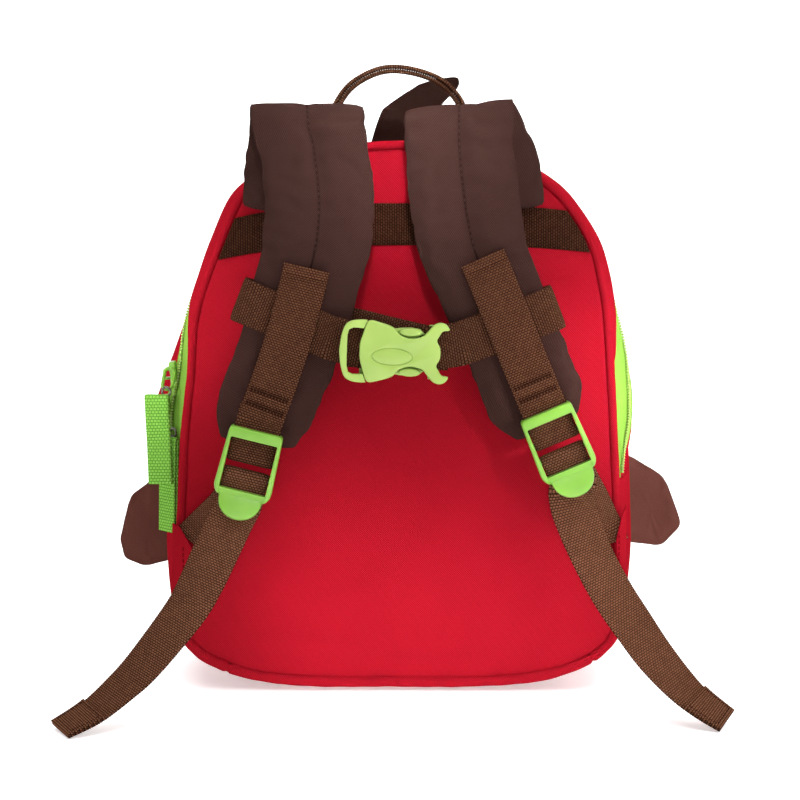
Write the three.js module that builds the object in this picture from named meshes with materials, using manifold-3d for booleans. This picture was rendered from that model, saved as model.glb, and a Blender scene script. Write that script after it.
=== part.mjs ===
// A child's mini backpack that stands on its base, zip closed and chest buckle fastened.
// Millimetres. The strap side faces -Y, up is +Z, and the base rests on z = 0.
import * as THREE from "three";
import { mergeVertices } from "three/addons/utils/BufferGeometryUtils.js";
import Module from "manifold-3d";

const wasm = await Module();
wasm.setup();

// Driving sizes
const GAP = 0.3;
const WEBBING_WIDTH = 24;
const WEBBING_THICK = 1.6;
const CLOTH_THICK = 2;
const PANEL_THICK = 3;
const PIPING_RADIUS = 2.6;
const BACK_SEAM_Y = -48;
const FRONT_SEAM_Y = 40;
const BACK_CROWN = 6;
const FRONT_CROWN = 14;
const CROWN_CENTRE_Z = 142;
const ZIP_END_Z = 114;
const ZIP_BACK_Y = -20;
const ZIP_FRONT_Y = 2;
const ZIP_COIL_Y = -8;
const ZIP_TAPE_THICK = 1.2;
const YOKE_HEIGHT = 22;
const HANDLE_WIDTH = 20;
const HANDLE_THICK = 3.4;
const PULL_WIDTH = 13;
const PULL_THICK = 1.4;
const STRAP_GROOVE = 1.1;

// Colours
const RED = { color: 0xc4202f, roughness: 0.85, metalness: 0 };
const BROWN_CLOTH = { color: 0x52393a, roughness: 0.85, metalness: 0 };
const BROWN_WEBBING = { color: 0x5c3a28, roughness: 0.9, metalness: 0 };
const LIME_PLASTIC = { color: 0xa6d95a, roughness: 0.35, metalness: 0 };
const LIME_CLOTH = { color: 0x8fd048, roughness: 0.85, metalness: 0 };
const STEEL = { color: 0xc8c8c8, roughness: 0.3, metalness: 1 };

// Right half of the seam that the piping follows, from the middle of the base to the middle of the top
const SEAM_ROWS = [
  { x: 0, z: 3 },
  { x: 40, z: 3 },
  { x: 72, z: 5.4 },
  { x: 93, z: 11 },
  { x: 108, z: 19.5 },
  { x: 116, z: 33 },
  { x: 117, z: 62 },
  { x: 115, z: 102 },
  { x: 112.8, z: 142 },
  { x: 110, z: 187 },
  { x: 107, z: 216 },
  { x: 101, z: 240 },
  { x: 90, z: 259 },
  { x: 78, z: 272 },
  { x: 58, z: 283.5 },
  { x: 32, z: 290.5 },
  { x: 0, z: 292.5 },
];

// How far the gusset stands out from the seam at each depth: on the lower sides, on the upper sides,
// over the top and under the base
const GUSSET_ROWS = [
  { y: -45, low: 0.6, high: 0.6, lift: 0.6, drop: 2.2 },
  { y: -36, low: 4, high: 6.2, lift: 3.4, drop: 3 },
  { y: -27, low: 6.4, high: 8.6, lift: 3.8, drop: 3 },
  { y: -20, low: 8.2, high: 7.8, lift: 2.6, drop: 3 },
  { y: 2, low: 13.4, high: 5.8, lift: -1.5, drop: 3 },
  { y: 20, low: 14.6, high: 5.2, lift: -5.5, drop: 3 },
  { y: 37, low: 11, high: 2, lift: -11, drop: 2.2 },
];
const LOW_SIDE_Z = 167;
const HIGH_SIDE_Z = 237;
// Towards the base the sides draw in to this share of the gusset's reach
const FOOT_SHARE = 0.62;
const FOOT_LOW_Z = 8;
const FOOT_HIGH_Z = 78;

// Padded straps from the foot at the yoke, up the riser, over the fold and down the front
const LEFT_STRAP_ROWS = [
  { x: -54, y: -55, z: 266.8, wide: 55, thick: 5, lean: -3 },
  { x: -52.5, y: -58.5, z: 278, wide: 57, thick: 8, lean: -6 },
  { x: -50.5, y: -61.5, z: 292, wide: 57, thick: 9, lean: -5 },
  { x: -49, y: -62, z: 303, wide: 57, thick: 9, lean: -3 },
  { x: -48.2, y: -64.6, z: 309.4, wide: 57, thick: 9, lean: -2 },
  { x: -47.6, y: -71, z: 312, wide: 57, thick: 9, lean: 0 },
  { x: -47, y: -77.4, z: 309.4, wide: 57, thick: 9, lean: 2 },
  { x: -46, y: -80, z: 302, wide: 56.5, thick: 9.5, lean: 6 },
  { x: -43.6, y: -81, z: 291, wide: 56, thick: 9.5, lean: 7 },
  { x: -41.2, y: -81.5, z: 267, wide: 56, thick: 9.5, lean: 2 },
  { x: -43, y: -81, z: 243.5, wide: 55.5, thick: 9.5, lean: -8 },
  { x: -47.8, y: -80, z: 224, wide: 54, thick: 9.5, lean: -13 },
  { x: -51.6, y: -79.2, z: 210, wide: 53.5, thick: 9.5, lean: -15 },
  { x: -57.8, y: -77.5, z: 189, wide: 52, thick: 9.5, lean: -18 },
  { x: -66, y: -74.5, z: 165, wide: 50.5, thick: 9, lean: -19 },
  { x: -70.6, y: -72.8, z: 151, wide: 48, thick: 7, lean: -15 },
  { x: -72.8, y: -72, z: 142, wide: 39, thick: 4.6, lean: -9 },
];
const RIGHT_STRAP_ROWS = [
  { x: 47.8, y: -55, z: 272, wide: 55, thick: 5.4, lean: 6 },
  { x: 45.2, y: -58.5, z: 280, wide: 57, thick: 8, lean: 13 },
  { x: 40, y: -61.5, z: 292, wide: 57, thick: 9, lean: 12 },
  { x: 35, y: -62, z: 303, wide: 56, thick: 9, lean: 6 },
  { x: 32.6, y: -64.6, z: 309.4, wide: 55, thick: 9, lean: 2 },
  { x: 31.4, y: -71, z: 312, wide: 55, thick: 9, lean: 0 },
  { x: 31, y: -77.4, z: 309.4, wide: 55, thick: 9, lean: 0 },
  { x: 30.9, y: -80, z: 302, wide: 55.5, thick: 9.5, lean: 1 },
  { x: 31.2, y: -81, z: 291, wide: 55.5, thick: 9.5, lean: 3 },
  { x: 33.8, y: -81.5, z: 267, wide: 56, thick: 9.5, lean: 8 },
  { x: 38.4, y: -81, z: 243.5, wide: 55, thick: 9.5, lean: 14 },
  { x: 45.6, y: -80, z: 224, wide: 52.5, thick: 9.5, lean: 20 },
  { x: 52.8, y: -79.2, z: 207, wide: 51, thick: 9.5, lean: 22 },
  { x: 60.5, y: -77.5, z: 189, wide: 50.5, thick: 9.5, lean: 22 },
  { x: 68.6, y: -74.8, z: 169, wide: 49.5, thick: 9, lean: 22 },
  { x: 73.4, y: -73.2, z: 159, wide: 46, thick: 7, lean: 22 },
  { x: 76.2, y: -72.4, z: 152, wide: 37, thick: 4.6, lean: 23 },
];

// Webbing sewn down the front of each strap, to the top of its ladder lock
const LEFT_STRAP_WEBBING_ROWS = [
  { x: -47.4, y: -86.4, z: 232.5, lean: -15 },
  { x: -49.4, y: -87.2, z: 224, lean: -15 },
  { x: -51.8, y: -88.3, z: 215, lean: -16 },
  { x: -55, y: -88.1, z: 203, lean: -17 },
  { x: -58.6, y: -86.9, z: 191, lean: -18 },
  { x: -63, y: -84.8, z: 178, lean: -18 },
  { x: -68, y: -83.5, z: 164, lean: -16 },
];
const RIGHT_STRAP_WEBBING_ROWS = [
  { x: 42.9, y: -86.4, z: 237.5, lean: 23 },
  { x: 46.6, y: -87.2, z: 229, lean: 23 },
  { x: 50.4, y: -88.3, z: 219.5, lean: 23 },
  { x: 55, y: -88.3, z: 208, lean: 23 },
  { x: 60, y: -87.6, z: 196, lean: 23 },
  { x: 65, y: -85.9, z: 183.5, lean: 23 },
  { x: 70, y: -83.9, z: 171.5, lean: 23 },
];

// Ladder lock: place of the middle of its top edge, and how far it leans
const LEFT_LOCK = { x: -73.9, y: -83.6, z: 147.3, lean: -14 };
const RIGHT_LOCK = { x: 75.8, y: -83.6, z: 157.6, lean: 23 };
const LOCK_SIZE = { topWidth: 28.4, lowWidth: 30.4, length: 37, window: 24.8, front: 3, back: -5.2 };
const LOCK_TOP_BAR = 5.4;
const LOCK_FIXED_BAR = 14;
const LOCK_SLIDE_BAR = 22;
const LOCK_LOW_BAR = 28.4;
const LOCK_BAR_RADIUS = 1.5;
const LOCK_BAR_DEPTH = -3.7;
const LOCK_TAB = { width: 20, length: 9 };

// Free tails from below the lock to the tip on the floor; turn is how far the width swings to the front
const LEFT_TAIL_ROWS = [
  { x: -88.2, y: -84, z: 99.8, lean: -21, turn: 3 },
  { x: -96, y: -90, z: 83.4, lean: -26, turn: 10 },
  { x: -102.6, y: -95.4, z: 69.4, lean: -28, turn: 20 },
  { x: -110.9, y: -101.5, z: 55, lean: -29, turn: 30 },
  { x: -131.2, y: -115, z: 30.2, lean: -28, turn: 43 },
  { x: -143.6, y: -123, z: 18.7, lean: -25, turn: 51 },
  { x: -156.6, y: -130.5, z: 8.9, lean: -17, turn: 55 },
  { x: -171.2, y: -138, z: 1.8, lean: -3, turn: 54 },
];
const RIGHT_TAIL_ROWS = [
  { x: 90, y: -82, z: 114.4, lean: 21, turn: -4 },
  { x: 91.8, y: -84.4, z: 104, lean: 20, turn: -15 },
  { x: 100.2, y: -90.5, z: 83.4, lean: 22, turn: -25 },
  { x: 110.3, y: -97, z: 64.6, lean: 26, turn: -27 },
  { x: 120.4, y: -103.5, z: 49.6, lean: 29, turn: -31 },
  { x: 131.6, y: -110, z: 34, lean: 31, turn: -38 },
  { x: 144.2, y: -116.5, z: 20, lean: 29, turn: -48 },
  { x: 154, y: -121, z: 11.6, lean: 22, turn: -54 },
  { x: 167.2, y: -125.5, z: 3, lean: 3, turn: -52 },
];
// Webbing from the corner tab up to the back of the lock
const LEFT_ANCHOR_ROWS = [
  { x: -110.5, y: -51.8, z: 81.5, lean: -42, turn: 0 },
  { x: -105.5, y: -53.4, z: 87, lean: -42, turn: 0 },
  { x: -98, y: -60, z: 95, lean: -38, turn: 0 },
  { x: -90, y: -70, z: 104, lean: -28, turn: 0 },
];
const RIGHT_ANCHOR_ROWS = [
  { x: 109, y: -51.8, z: 87.5, lean: 36, turn: 0 },
  { x: 106.5, y: -53.4, z: 92.5, lean: 36, turn: 0 },
  { x: 102.5, y: -60, z: 101, lean: 32, turn: 0 },
  { x: 97.5, y: -70, z: 111, lean: 27, turn: 0 },
];

// Chest strap: front run from the buckle to the strap edge, then the run behind the strap
const LEFT_CHEST_FRONT_ROWS = [
  { x: -36, y: -88, z: 193.2, lean: 5 },
  { x: -43, y: -86, z: 198.6, lean: 18 },
  { x: -52, y: -85.4, z: 203.8, lean: 21 },
  { x: -65, y: -85.5, z: 209, lean: 21 },
];
const LEFT_CHEST_BACK_ROWS = [
  { x: -65, y: -73, z: 209, lean: 21 },
  { x: -50, y: -72.1, z: 203, lean: 21 },
  { x: -36, y: -71.8, z: 198, lean: 20 },
  { x: -24, y: -75, z: 194.8, lean: 16 },
  { x: -12, y: -79.4, z: 192, lean: 13 },
  { x: 2, y: -81.2, z: 189, lean: 12 },
  { x: 14, y: -81.2, z: 186.6, lean: 12 },
];
const RIGHT_CHEST_FRONT_ROWS = [
  { x: 32, y: -88.2, z: 190.6, lean: 10 },
  { x: 39, y: -86.2, z: 194.4, lean: 19 },
  { x: 51, y: -85.5, z: 199.6, lean: 22 },
  { x: 63, y: -85.5, z: 204.4, lean: 22 },
];
const RIGHT_CHEST_BACK_ROWS = [
  { x: 63, y: -72.4, z: 204.4, lean: 22 },
  { x: 52, y: -71.9, z: 200, lean: 22 },
  { x: 42, y: -71.7, z: 196, lean: 22 },
];
const CHEST_LEAN = 21;
const CHEST_TILT = -0.066;
const CHEST_TURN_RADIUS = 6.2;
const LEFT_CHEST_TURN = { x: -77, y: -79.5, z: 213.6 };
const RIGHT_CHEST_TURN = { x: 76, y: -79.4, z: 209.6 };

// Buckle: centre and lean, then upper half outlines seen from the front, about its own centre
const BUCKLE = { x: -2.6, y: -90, z: 189.4, lean: -2 };
const BUCKLE_THICK = 9;
const BUCKLE_PLATE = 3.3;
const BUCKLE_BAR_RADIUS = 1.5;
const FRAME_BAR_X = -16.2;
const HORN_BAR_X = 19.2;
// Socket body: left edge, flared end, finger recess, horn and round nose
const SOCKET_HALF_ROWS = [
  { x: -17.8, half: 0 },
  { x: -17.6, half: 4 },
  { x: -16.2, half: 9 },
  { x: -13.4, half: 15.7 },
  { x: -7, half: 14.9 },
  { x: -0.6, half: 12.6 },
  { x: 2.2, half: 9.4 },
  { x: 6, half: 7.6 },
  { x: 10, half: 7.3 },
  { x: 14.6, half: 8.6 },
  { x: 17, half: 11 },
  { x: 20.2, half: 14.6 },
  { x: 23.4, half: 15.8 },
  { x: 26.4, half: 15 },
  { x: 28.2, half: 12.2 },
  { x: 24.8, half: 11.4 },
  { x: 23.2, half: 9 },
  { x: 22, half: 6.4 },
  { x: 23.6, half: 3 },
  { x: 24, half: 0 },
];
// Pronged part: the frame round the webbing slot, outside then inside
const FRAME_HALF_ROWS = [
  { x: -28.2, half: 0 },
  { x: -27.4, half: 7 },
  { x: -25.4, half: 13.2 },
  { x: -22, half: 15.5 },
  { x: -17.4, half: 16.2 },
  { x: -14.2, half: 16.1 },
  { x: -15.8, half: 11.8 },
  { x: -23.4, half: 11 },
  { x: -24.2, half: 0 },
];
// Pronged part: one sprung arm, with the press lobe that shows in the recess
const ARM_ROWS = [
  { x: -18.4, half: 12.3 },
  { x: -12.4, half: 12.1 },
  { x: -9, half: 9.2 },
  { x: 9, half: 8.4 },
  { x: 15.6, half: 10.2 },
  { x: 13.2, half: 11.7 },
  { x: 8.7, half: 12.5 },
  { x: 3, half: 12.2 },
  { x: 0, half: 11.6 },
  { x: -3, half: 12 },
  { x: -9.4, half: 13.6 },
  { x: -13.9, half: 15 },
  { x: -18.4, half: 15 },
];

// Handle arch over the top, along the middle of its thickness
const HANDLE_ROWS = [
  { x: -36, z: 294.3 },
  { x: -35.4, z: 307 },
  { x: -32.6, z: 316 },
  { x: -25.6, z: 325.4 },
  { x: -14.6, z: 332 },
  { x: -3.6, z: 334.4 },
  { x: 9.8, z: 332.6 },
  { x: 21.6, z: 328 },
  { x: 28.4, z: 322 },
  { x: 32.6, z: 316 },
  { x: 35.4, z: 307 },
  { x: 36, z: 294.3 },
];
const HANDLE_Y = -35;

// Flat padded trims, outlined from the front
const TUFT_ROWS = [
  { x: -17, z: 284.7 },
  { x: -15.6, z: 295 },
  { x: -10.7, z: 309.8 },
  { x: -6.2, z: 315.3 },
  { x: 6.1, z: 323.6 },
  { x: 15, z: 328.1 },
  { x: 30.6, z: 331 },
  { x: 33.8, z: 328.4 },
  { x: 32, z: 323.6 },
  { x: 24.5, z: 316 },
  { x: 18.5, z: 306 },
  { x: 16, z: 295 },
  { x: 16, z: 284.7 },
];
const TUFT_Y = 38;
const LEFT_FLAP_ROWS = [
  { x: -130.7, z: 106 },
  { x: -141.3, z: 102.3 },
  { x: -154.7, z: 92.4 },
  { x: -160.8, z: 67.3 },
  { x: -158.1, z: 56.1 },
  { x: -146.6, z: 51.6 },
  { x: -132.1, z: 56 },
];
const RIGHT_FLAP_ROWS = [
  { x: 132.4, z: 116 },
  { x: 152.6, z: 103.4 },
  { x: 162.8, z: 76 },
  { x: 151.2, z: 63.4 },
  { x: 132, z: 65.6 },
];
const FLAP_Y = 38;
const TRIM_THICK = 5;

// Red tabs that hold the lower webbing in the side seams; root at the seam, tip over the webbing
const LEFT_TAB_ROWS = [
  { x: -121.6, z: 93 },
  { x: -117.4, z: 91 },
  { x: -110.6, z: 79 },
  { x: -113.4, z: 66 },
  { x: -119.6, z: 49 },
  { x: -122.4, z: 53 },
];
const RIGHT_TAB_ROWS = [
  { x: 121.2, z: 103 },
  { x: 117.4, z: 99 },
  { x: 111.4, z: 83 },
  { x: 114.4, z: 70 },
  { x: 120.4, z: 56 },
  { x: 122.2, z: 62 },
];
const TAB_ROOT_Y = -51;
const TAB_TIP_Y = -54.6;
const TAB_THICK = 2;

// Zip ends: two sliders on the left, each with a ring and a folded webbing tab that hangs in front of it
const SLIDER_SIZE = { long: 10, wide: 8, tall: 4.6 };
const ZIP_PULL_ROWS = [
  {
    name: "upper",
    sliderZ: 170,
    ringX: -125.6,
    ringZ: 162.5,
    topX: -130.2,
    topZ: 160.6,
    bottomX: -130.8,
    bottomZ: 112.6,
    y: -41.5,
    turn: 10,
  },
  {
    name: "lower",
    sliderZ: 152,
    ringX: -124,
    ringZ: 139.5,
    topX: -124.2,
    topZ: 137,
    bottomX: -125.4,
    bottomZ: 85.6,
    y: -37,
    turn: 45,
  },
];
const RING_RADIUS = 3.8;
const RING_WIRE = 0.7;

// Mesh helpers

const vec = (x, y, z) => new THREE.Vector3(x, y, z);
const radians = THREE.MathUtils.degToRad;

function closedGeometry(points, triangles) {
  let volume = 0;
  for (const [a, b, c] of triangles) {
    volume += points[a].dot(points[b].clone().cross(points[c]));
  }
  const faces = volume < 0 ? triangles.map(([a, b, c]) => [a, c, b]) : triangles;
  const geometry = new THREE.BufferGeometry();
  const places = points.flatMap((point) => point.toArray());
  geometry.setAttribute("position", new THREE.Float32BufferAttribute(places, 3));
  geometry.setIndex(faces.flat());
  return geometry;
}

// A wall between two grids of points of the same size
function wall(outer, inner) {
  const rows = outer.length;
  const columns = outer[0].length;
  const points = [...outer.flat(), ...inner.flat()];
  const at = (i, j) => i * columns + j;
  const under = (i, j) => rows * columns + i * columns + j;
  const triangles = [];
  const quad = (a, b, c, d) => triangles.push([a, b, c], [a, c, d]);
  const lastRow = rows - 1;
  const lastColumn = columns - 1;
  for (let i = 0; i < lastRow; i += 1) {
    for (let j = 0; j < lastColumn; j += 1) {
      quad(at(i, j), at(i + 1, j), at(i + 1, j + 1), at(i, j + 1));
      quad(under(i, j), under(i, j + 1), under(i + 1, j + 1), under(i + 1, j));
    }
    quad(at(i, 0), under(i, 0), under(i + 1, 0), at(i + 1, 0));
    quad(at(i, lastColumn), at(i + 1, lastColumn), under(i + 1, lastColumn), under(i, lastColumn));
  }
  for (let j = 0; j < lastColumn; j += 1) {
    quad(at(0, j), at(0, j + 1), under(0, j + 1), under(0, j));
    quad(at(lastRow, j), under(lastRow, j), under(lastRow, j + 1), at(lastRow, j + 1));
  }
  return closedGeometry(points, triangles);
}

// A solid between two dished faces, each a middle point and rings of points that grow to the edge
function dish(front, back) {
  const count = front.rings[0].length;
  const points = [];
  const triangles = [];
  const addFace = (face, flip) => {
    const start = points.length;
    points.push(face.middle, ...face.rings.flat());
    const at = (k, i) => start + 1 + k * count + (i % count);
    const add = (a, b, c) => triangles.push(flip ? [a, c, b] : [a, b, c]);
    for (let i = 0; i < count; i += 1) {
      add(start, at(0, i), at(0, i + 1));
      for (let k = 0; k + 1 < face.rings.length; k += 1) {
        add(at(k, i), at(k + 1, i), at(k + 1, i + 1));
        add(at(k, i), at(k + 1, i + 1), at(k, i + 1));
      }
    }
    return (i) => at(face.rings.length - 1, i);
  };
  const frontEdge = addFace(front, false);
  const backEdge = addFace(back, true);
  for (let i = 0; i < count; i += 1) {
    triangles.push([frontEdge(i), backEdge(i), backEdge(i + 1)]);
    triangles.push([frontEdge(i), backEdge(i + 1), frontEdge(i + 1)]);
  }
  return closedGeometry(points, triangles);
}

// A skin over a row of closed sections, with end faces or joined into a loop
function loft(sections, loop = false) {
  const count = sections[0].length;
  const points = sections.flat();
  const triangles = [];
  const steps = loop ? sections.length : sections.length - 1;
  for (let s = 0; s < steps; s += 1) {
    const here = s * count;
    const next = ((s + 1) % sections.length) * count;
    for (let i = 0; i < count; i += 1) {
      const j = (i + 1) % count;
      triangles.push([here + i, next + i, next + j], [here + i, next + j, here + j]);
    }
  }
  if (!loop) {
    const last = (sections.length - 1) * count;
    const cap = (start, flip) => {
      const middle = vec(0, 0, 0);
      for (let i = 0; i < count; i += 1) {
        middle.addScaledVector(points[start + i], 1 / count);
      }
      const centre = points.push(middle) - 1;
      for (let i = 0; i < count; i += 1) {
        const j = (i + 1) % count;
        triangles.push(flip ? [centre, start + j, start + i] : [centre, start + i, start + j]);
      }
    };
    cap(0, false);
    cap(last, true);
  }
  return closedGeometry(points, triangles);
}

// Values between the rows of a table, along a smooth curve through them
function smoothRows(rows, keys, steps) {
  const result = [];
  for (let i = 0; i + 1 < rows.length; i += 1) {
    const before = rows[Math.max(i - 1, 0)];
    const after = rows[Math.min(i + 2, rows.length - 1)];
    for (let s = 0; s < steps; s += 1) {
      result.push(between(before, rows[i], rows[i + 1], after, keys, s / steps));
    }
  }
  result.push({ ...rows[rows.length - 1] });
  return result;
}

function between(before, first, second, after, keys, share) {
  const row = {};
  for (const key of keys) {
    const a = (second[key] - before[key]) / 2;
    const b = (after[key] - first[key]) / 2;
    const rise = second[key] - first[key];
    const cubic = a + b - 2 * rise;
    const square = 3 * rise - 2 * a - b;
    row[key] = first[key] + share * (a + share * (square + share * cubic));
  }
  return row;
}

// The width direction of webbing that leans in the picture plane and turns to the front
function widthDirection(lean, turn = 0) {
  const flat = vec(Math.cos(radians(lean)), 0, Math.sin(radians(lean)));
  return flat.multiplyScalar(Math.cos(radians(turn))).add(vec(0, -Math.sin(radians(turn)), 0));
}

// Flat webbing along stations that each have a place and a width direction
function ribbon(stations, width, thick) {
  const sections = stations.map((station, i) => {
    const before = stations[Math.max(i - 1, 0)].place;
    const after = stations[Math.min(i + 1, stations.length - 1)].place;
    const along = after.clone().sub(before).normalize();
    const across = station.across.clone().addScaledVector(along, -station.across.dot(along)).normalize();
    const out = along.clone().cross(across);
    const corner = (side, face) =>
      station.place
        .clone()
        .addScaledVector(across, (side * width) / 2)
        .addScaledVector(out, (face * thick) / 2);
    return [corner(-1, -1), corner(1, -1), corner(1, 1), corner(-1, 1)];
  });
  return loft(sections);
}

const stationAt = (row) => ({ place: vec(row.x, row.y, row.z), across: widthDirection(row.lean, row.turn) });

function toManifold(geometry) {
  const plain = geometry.clone();
  plain.deleteAttribute("normal");
  plain.deleteAttribute("uv");
  const merged = mergeVertices(plain, 1e-4);
  const vertProperties = new Float32Array(merged.attributes.position.array);
  const triVerts = new Uint32Array(merged.index.array);
  return new wasm.Manifold(new wasm.Mesh({ numProp: 3, vertProperties, triVerts }));
}

function fromManifold(shape) {
  const mesh = shape.getMesh();
  const geometry = new THREE.BufferGeometry();
  geometry.setAttribute("position", new THREE.Float32BufferAttribute(mesh.vertProperties, 3));
  geometry.setIndex(Array.from(mesh.triVerts));
  return geometry;
}

function box(x0, x1, y0, y1, z0, z1) {
  const geometry = new THREE.BoxGeometry(x1 - x0, y1 - y0, z1 - z0);
  geometry.translate((x0 + x1) / 2, (y0 + y1) / 2, (z0 + z1) / 2);
  return toManifold(geometry);
}

// A round bar along Z
function upright(x, y, half, radius) {
  const geometry = new THREE.CylinderGeometry(radius, radius, 2 * half, 10);
  geometry.rotateX(Math.PI / 2);
  geometry.translate(x, y, 0);
  return toManifold(geometry);
}

// An outline in the picture plane, made thick from one depth to another
function plate(outline, y0, y1) {
  const shape = new THREE.Shape(outline.map((point) => new THREE.Vector2(point.x, point.z)));
  const geometry = new THREE.ExtrudeGeometry(shape, { depth: y1 - y0, bevelEnabled: false });
  geometry.rotateX(Math.PI / 2);
  geometry.translate(0, y1, 0);
  return toManifold(geometry);
}

// Move a piece made about its own origin to a place, leaning in the picture plane
function placed(geometry, place) {
  const moved = geometry.clone();
  moved.rotateY(-radians(place.lean));
  moved.translate(place.x, place.y, place.z);
  return moved;
}

// Body outline

const halfSeam = new THREE.SplineCurve(SEAM_ROWS.map((row) => new THREE.Vector2(row.x, row.z)));
halfSeam.arcLengthDivisions = 400;

// Share 0 is the middle of the base, 0.5 the middle of the top, going up the right side
function seamAt(share) {
  const wrapped = share - Math.floor(share);
  const right = wrapped <= 0.5;
  const along = right ? wrapped * 2 : (1 - wrapped) * 2;
  const point = halfSeam.getPointAt(along);
  const tangent = halfSeam.getTangentAt(along);
  if (along === 0 || along === 1) {
    tangent.set(along === 0 ? 1 : -1, 0);
  }
  const side = right ? 1 : -1;
  return { x: side * point.x, z: point.y, outX: side * tangent.y, outZ: -tangent.x };
}

function shareAtHeight(height) {
  let low = 0.1;
  let high = 0.5;
  for (let i = 0; i < 40; i += 1) {
    const middle = (low + high) / 2;
    if (seamAt(middle).z < height) {
      low = middle;
    } else {
      high = middle;
    }
  }
  return low;
}

const seamHalfWidth = (height) => seamAt(shareAtHeight(height)).x;

const GUSSET_KEYS = ["y", "low", "high", "lift", "drop"];
function gussetRow(depth) {
  let i = 0;
  while (i + 2 < GUSSET_ROWS.length && GUSSET_ROWS[i + 1].y < depth) {
    i += 1;
  }
  const first = GUSSET_ROWS[i];
  const second = GUSSET_ROWS[i + 1];
  const before = GUSSET_ROWS[Math.max(i - 1, 0)];
  const after = GUSSET_ROWS[Math.min(i + 2, GUSSET_ROWS.length - 1)];
  return between(before, first, second, after, GUSSET_KEYS, (depth - first.y) / (second.y - first.y));
}

// A point on the outside of the gusset, or under it by some depth of cloth; the base lies flat on z = 0
function gussetPoint(share, depth, under = 0) {
  const seam = seamAt(share);
  const row = gussetRow(depth);
  const mix = THREE.MathUtils.smoothstep(seam.z, LOW_SIDE_Z, HIGH_SIDE_Z);
  const aboveFoot = THREE.MathUtils.smoothstep(seam.z, FOOT_LOW_Z, FOOT_HIGH_Z);
  const foot = THREE.MathUtils.lerp(FOOT_SHARE, 1, aboveFoot);
  const side = foot * THREE.MathUtils.lerp(row.low, row.high, mix) - under;
  const rise = seam.outZ > 0 ? row.lift - under : row.drop - under;
  const height = Math.max(seam.z + seam.outZ * rise, Math.max(under, 0));
  return vec(seam.x + seam.outX * side, depth, height);
}

function gussetBand(shares, depths, thick) {
  const outer = depths.map((depth) => shares.map((share) => gussetPoint(share, depth)));
  const inner = depths.map((depth) => shares.map((share) => gussetPoint(share, depth, thick)));
  return wall(outer, inner);
}

const spread = (from, to, steps) =>
  Array.from({ length: steps + 1 }, (_, i) => from + ((to - from) * i) / steps);

const zipShare = shareAtHeight(ZIP_END_Z);
const GAP_SHARE = GAP / (2 * halfSeam.getLength());
const upperShares = spread(zipShare + GAP_SHARE, 1 - zipShare - GAP_SHARE, 38);
const lowerShares = spread(-zipShare, zipShare, 32);

const SEAM_POINTS = 48;

function piping(y, widen) {
  const sections = spread(0, 1, SEAM_POINTS)
    .slice(0, SEAM_POINTS)
    .map((share) => {
      const middle = widen(share);
      const seam = seamAt(share);
      return Array.from({ length: 6 }, (_, k) => {
        const angle = (k * Math.PI) / 3;
        const out = PIPING_RADIUS * Math.cos(angle);
        const back = PIPING_RADIUS * Math.sin(angle);
        return vec(middle.x + seam.outX * out, y + back, middle.z + seam.outZ * out);
      });
    });
  return loft(sections, true);
}

const backSeamPoint = (share) => seamAt(share);
const FRONT_ROW = gussetRow(37);
function frontSeamPoint(share) {
  const point = gussetPoint(share, 37);
  const seam = seamAt(share);
  const low = seam.outZ < 0 ? -seam.outZ * FRONT_ROW.drop : 0;
  return { x: point.x, z: point.z + low };
}

const PANEL_RINGS = [0.4, 0.72, 0.92, 1];
const CROWN_POWER = 2.2;

function panel(y, crown, edgePoint, side) {
  const inset = PIPING_RADIUS + GAP;
  const edge = spread(0, 1, SEAM_POINTS)
    .slice(0, SEAM_POINTS)
    .map((share) => {
      const point = edgePoint(share);
      const seam = seamAt(share);
      return { x: point.x - seam.outX * inset, z: point.z - seam.outZ * inset };
    });
  const face = (shift) => ({
    middle: vec(0, y + side * (crown + shift), CROWN_CENTRE_Z),
    rings: PANEL_RINGS.map((r) =>
      edge.map((point) =>
        vec(
          r * point.x,
          y + side * (crown * (1 - r ** CROWN_POWER) + shift),
          CROWN_CENTRE_Z + r * (point.z - CROWN_CENTRE_Z),
        ),
      ),
    ),
  });
  return dish(face(PANEL_THICK / 2), face(-PANEL_THICK / 2));
}

// Depth of the back panel's outer face
function backFaceY(x, z) {
  const angle = Math.atan2(z - CROWN_CENTRE_Z, x);
  let low = 0;
  let high = 0.5;
  const mirrored = x < 0 ? Math.atan2(z - CROWN_CENTRE_Z, -x) : angle;
  for (let i = 0; i < 40; i += 1) {
    const middle = (low + high) / 2;
    const seam = seamAt(middle);
    if (Math.atan2(seam.z - CROWN_CENTRE_Z, seam.x) < mirrored) {
      low = middle;
    } else {
      high = middle;
    }
  }
  const seam = seamAt(low);
  const reach = Math.hypot(seam.x, seam.z - CROWN_CENTRE_Z) - PIPING_RADIUS - GAP;
  const r = Math.min(1, Math.hypot(x, z - CROWN_CENTRE_Z) / reach);
  return BACK_SEAM_Y - BACK_CROWN * (1 - r ** CROWN_POWER) - PANEL_THICK / 2;
}

// Yoke webbing laid on the panel between the side seams
function yokeWebbing() {
  const heights = spread(-YOKE_HEIGHT / 2, YOKE_HEIGHT / 2, 2);
  const rows = (lift) =>
    heights.map((height) =>
      spread(-1, 1, 20).map((side) => {
        const dip = side < 0 ? 8 : 4;
        const z = 253 - dip * Math.abs(side) ** 3 + height;
        const x = side * (seamHalfWidth(z) - PIPING_RADIUS - 2 * GAP);
        return vec(x, backFaceY(x, z) - GAP - lift, z);
      }),
    );
  return wall(rows(WEBBING_THICK), rows(0));
}

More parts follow.
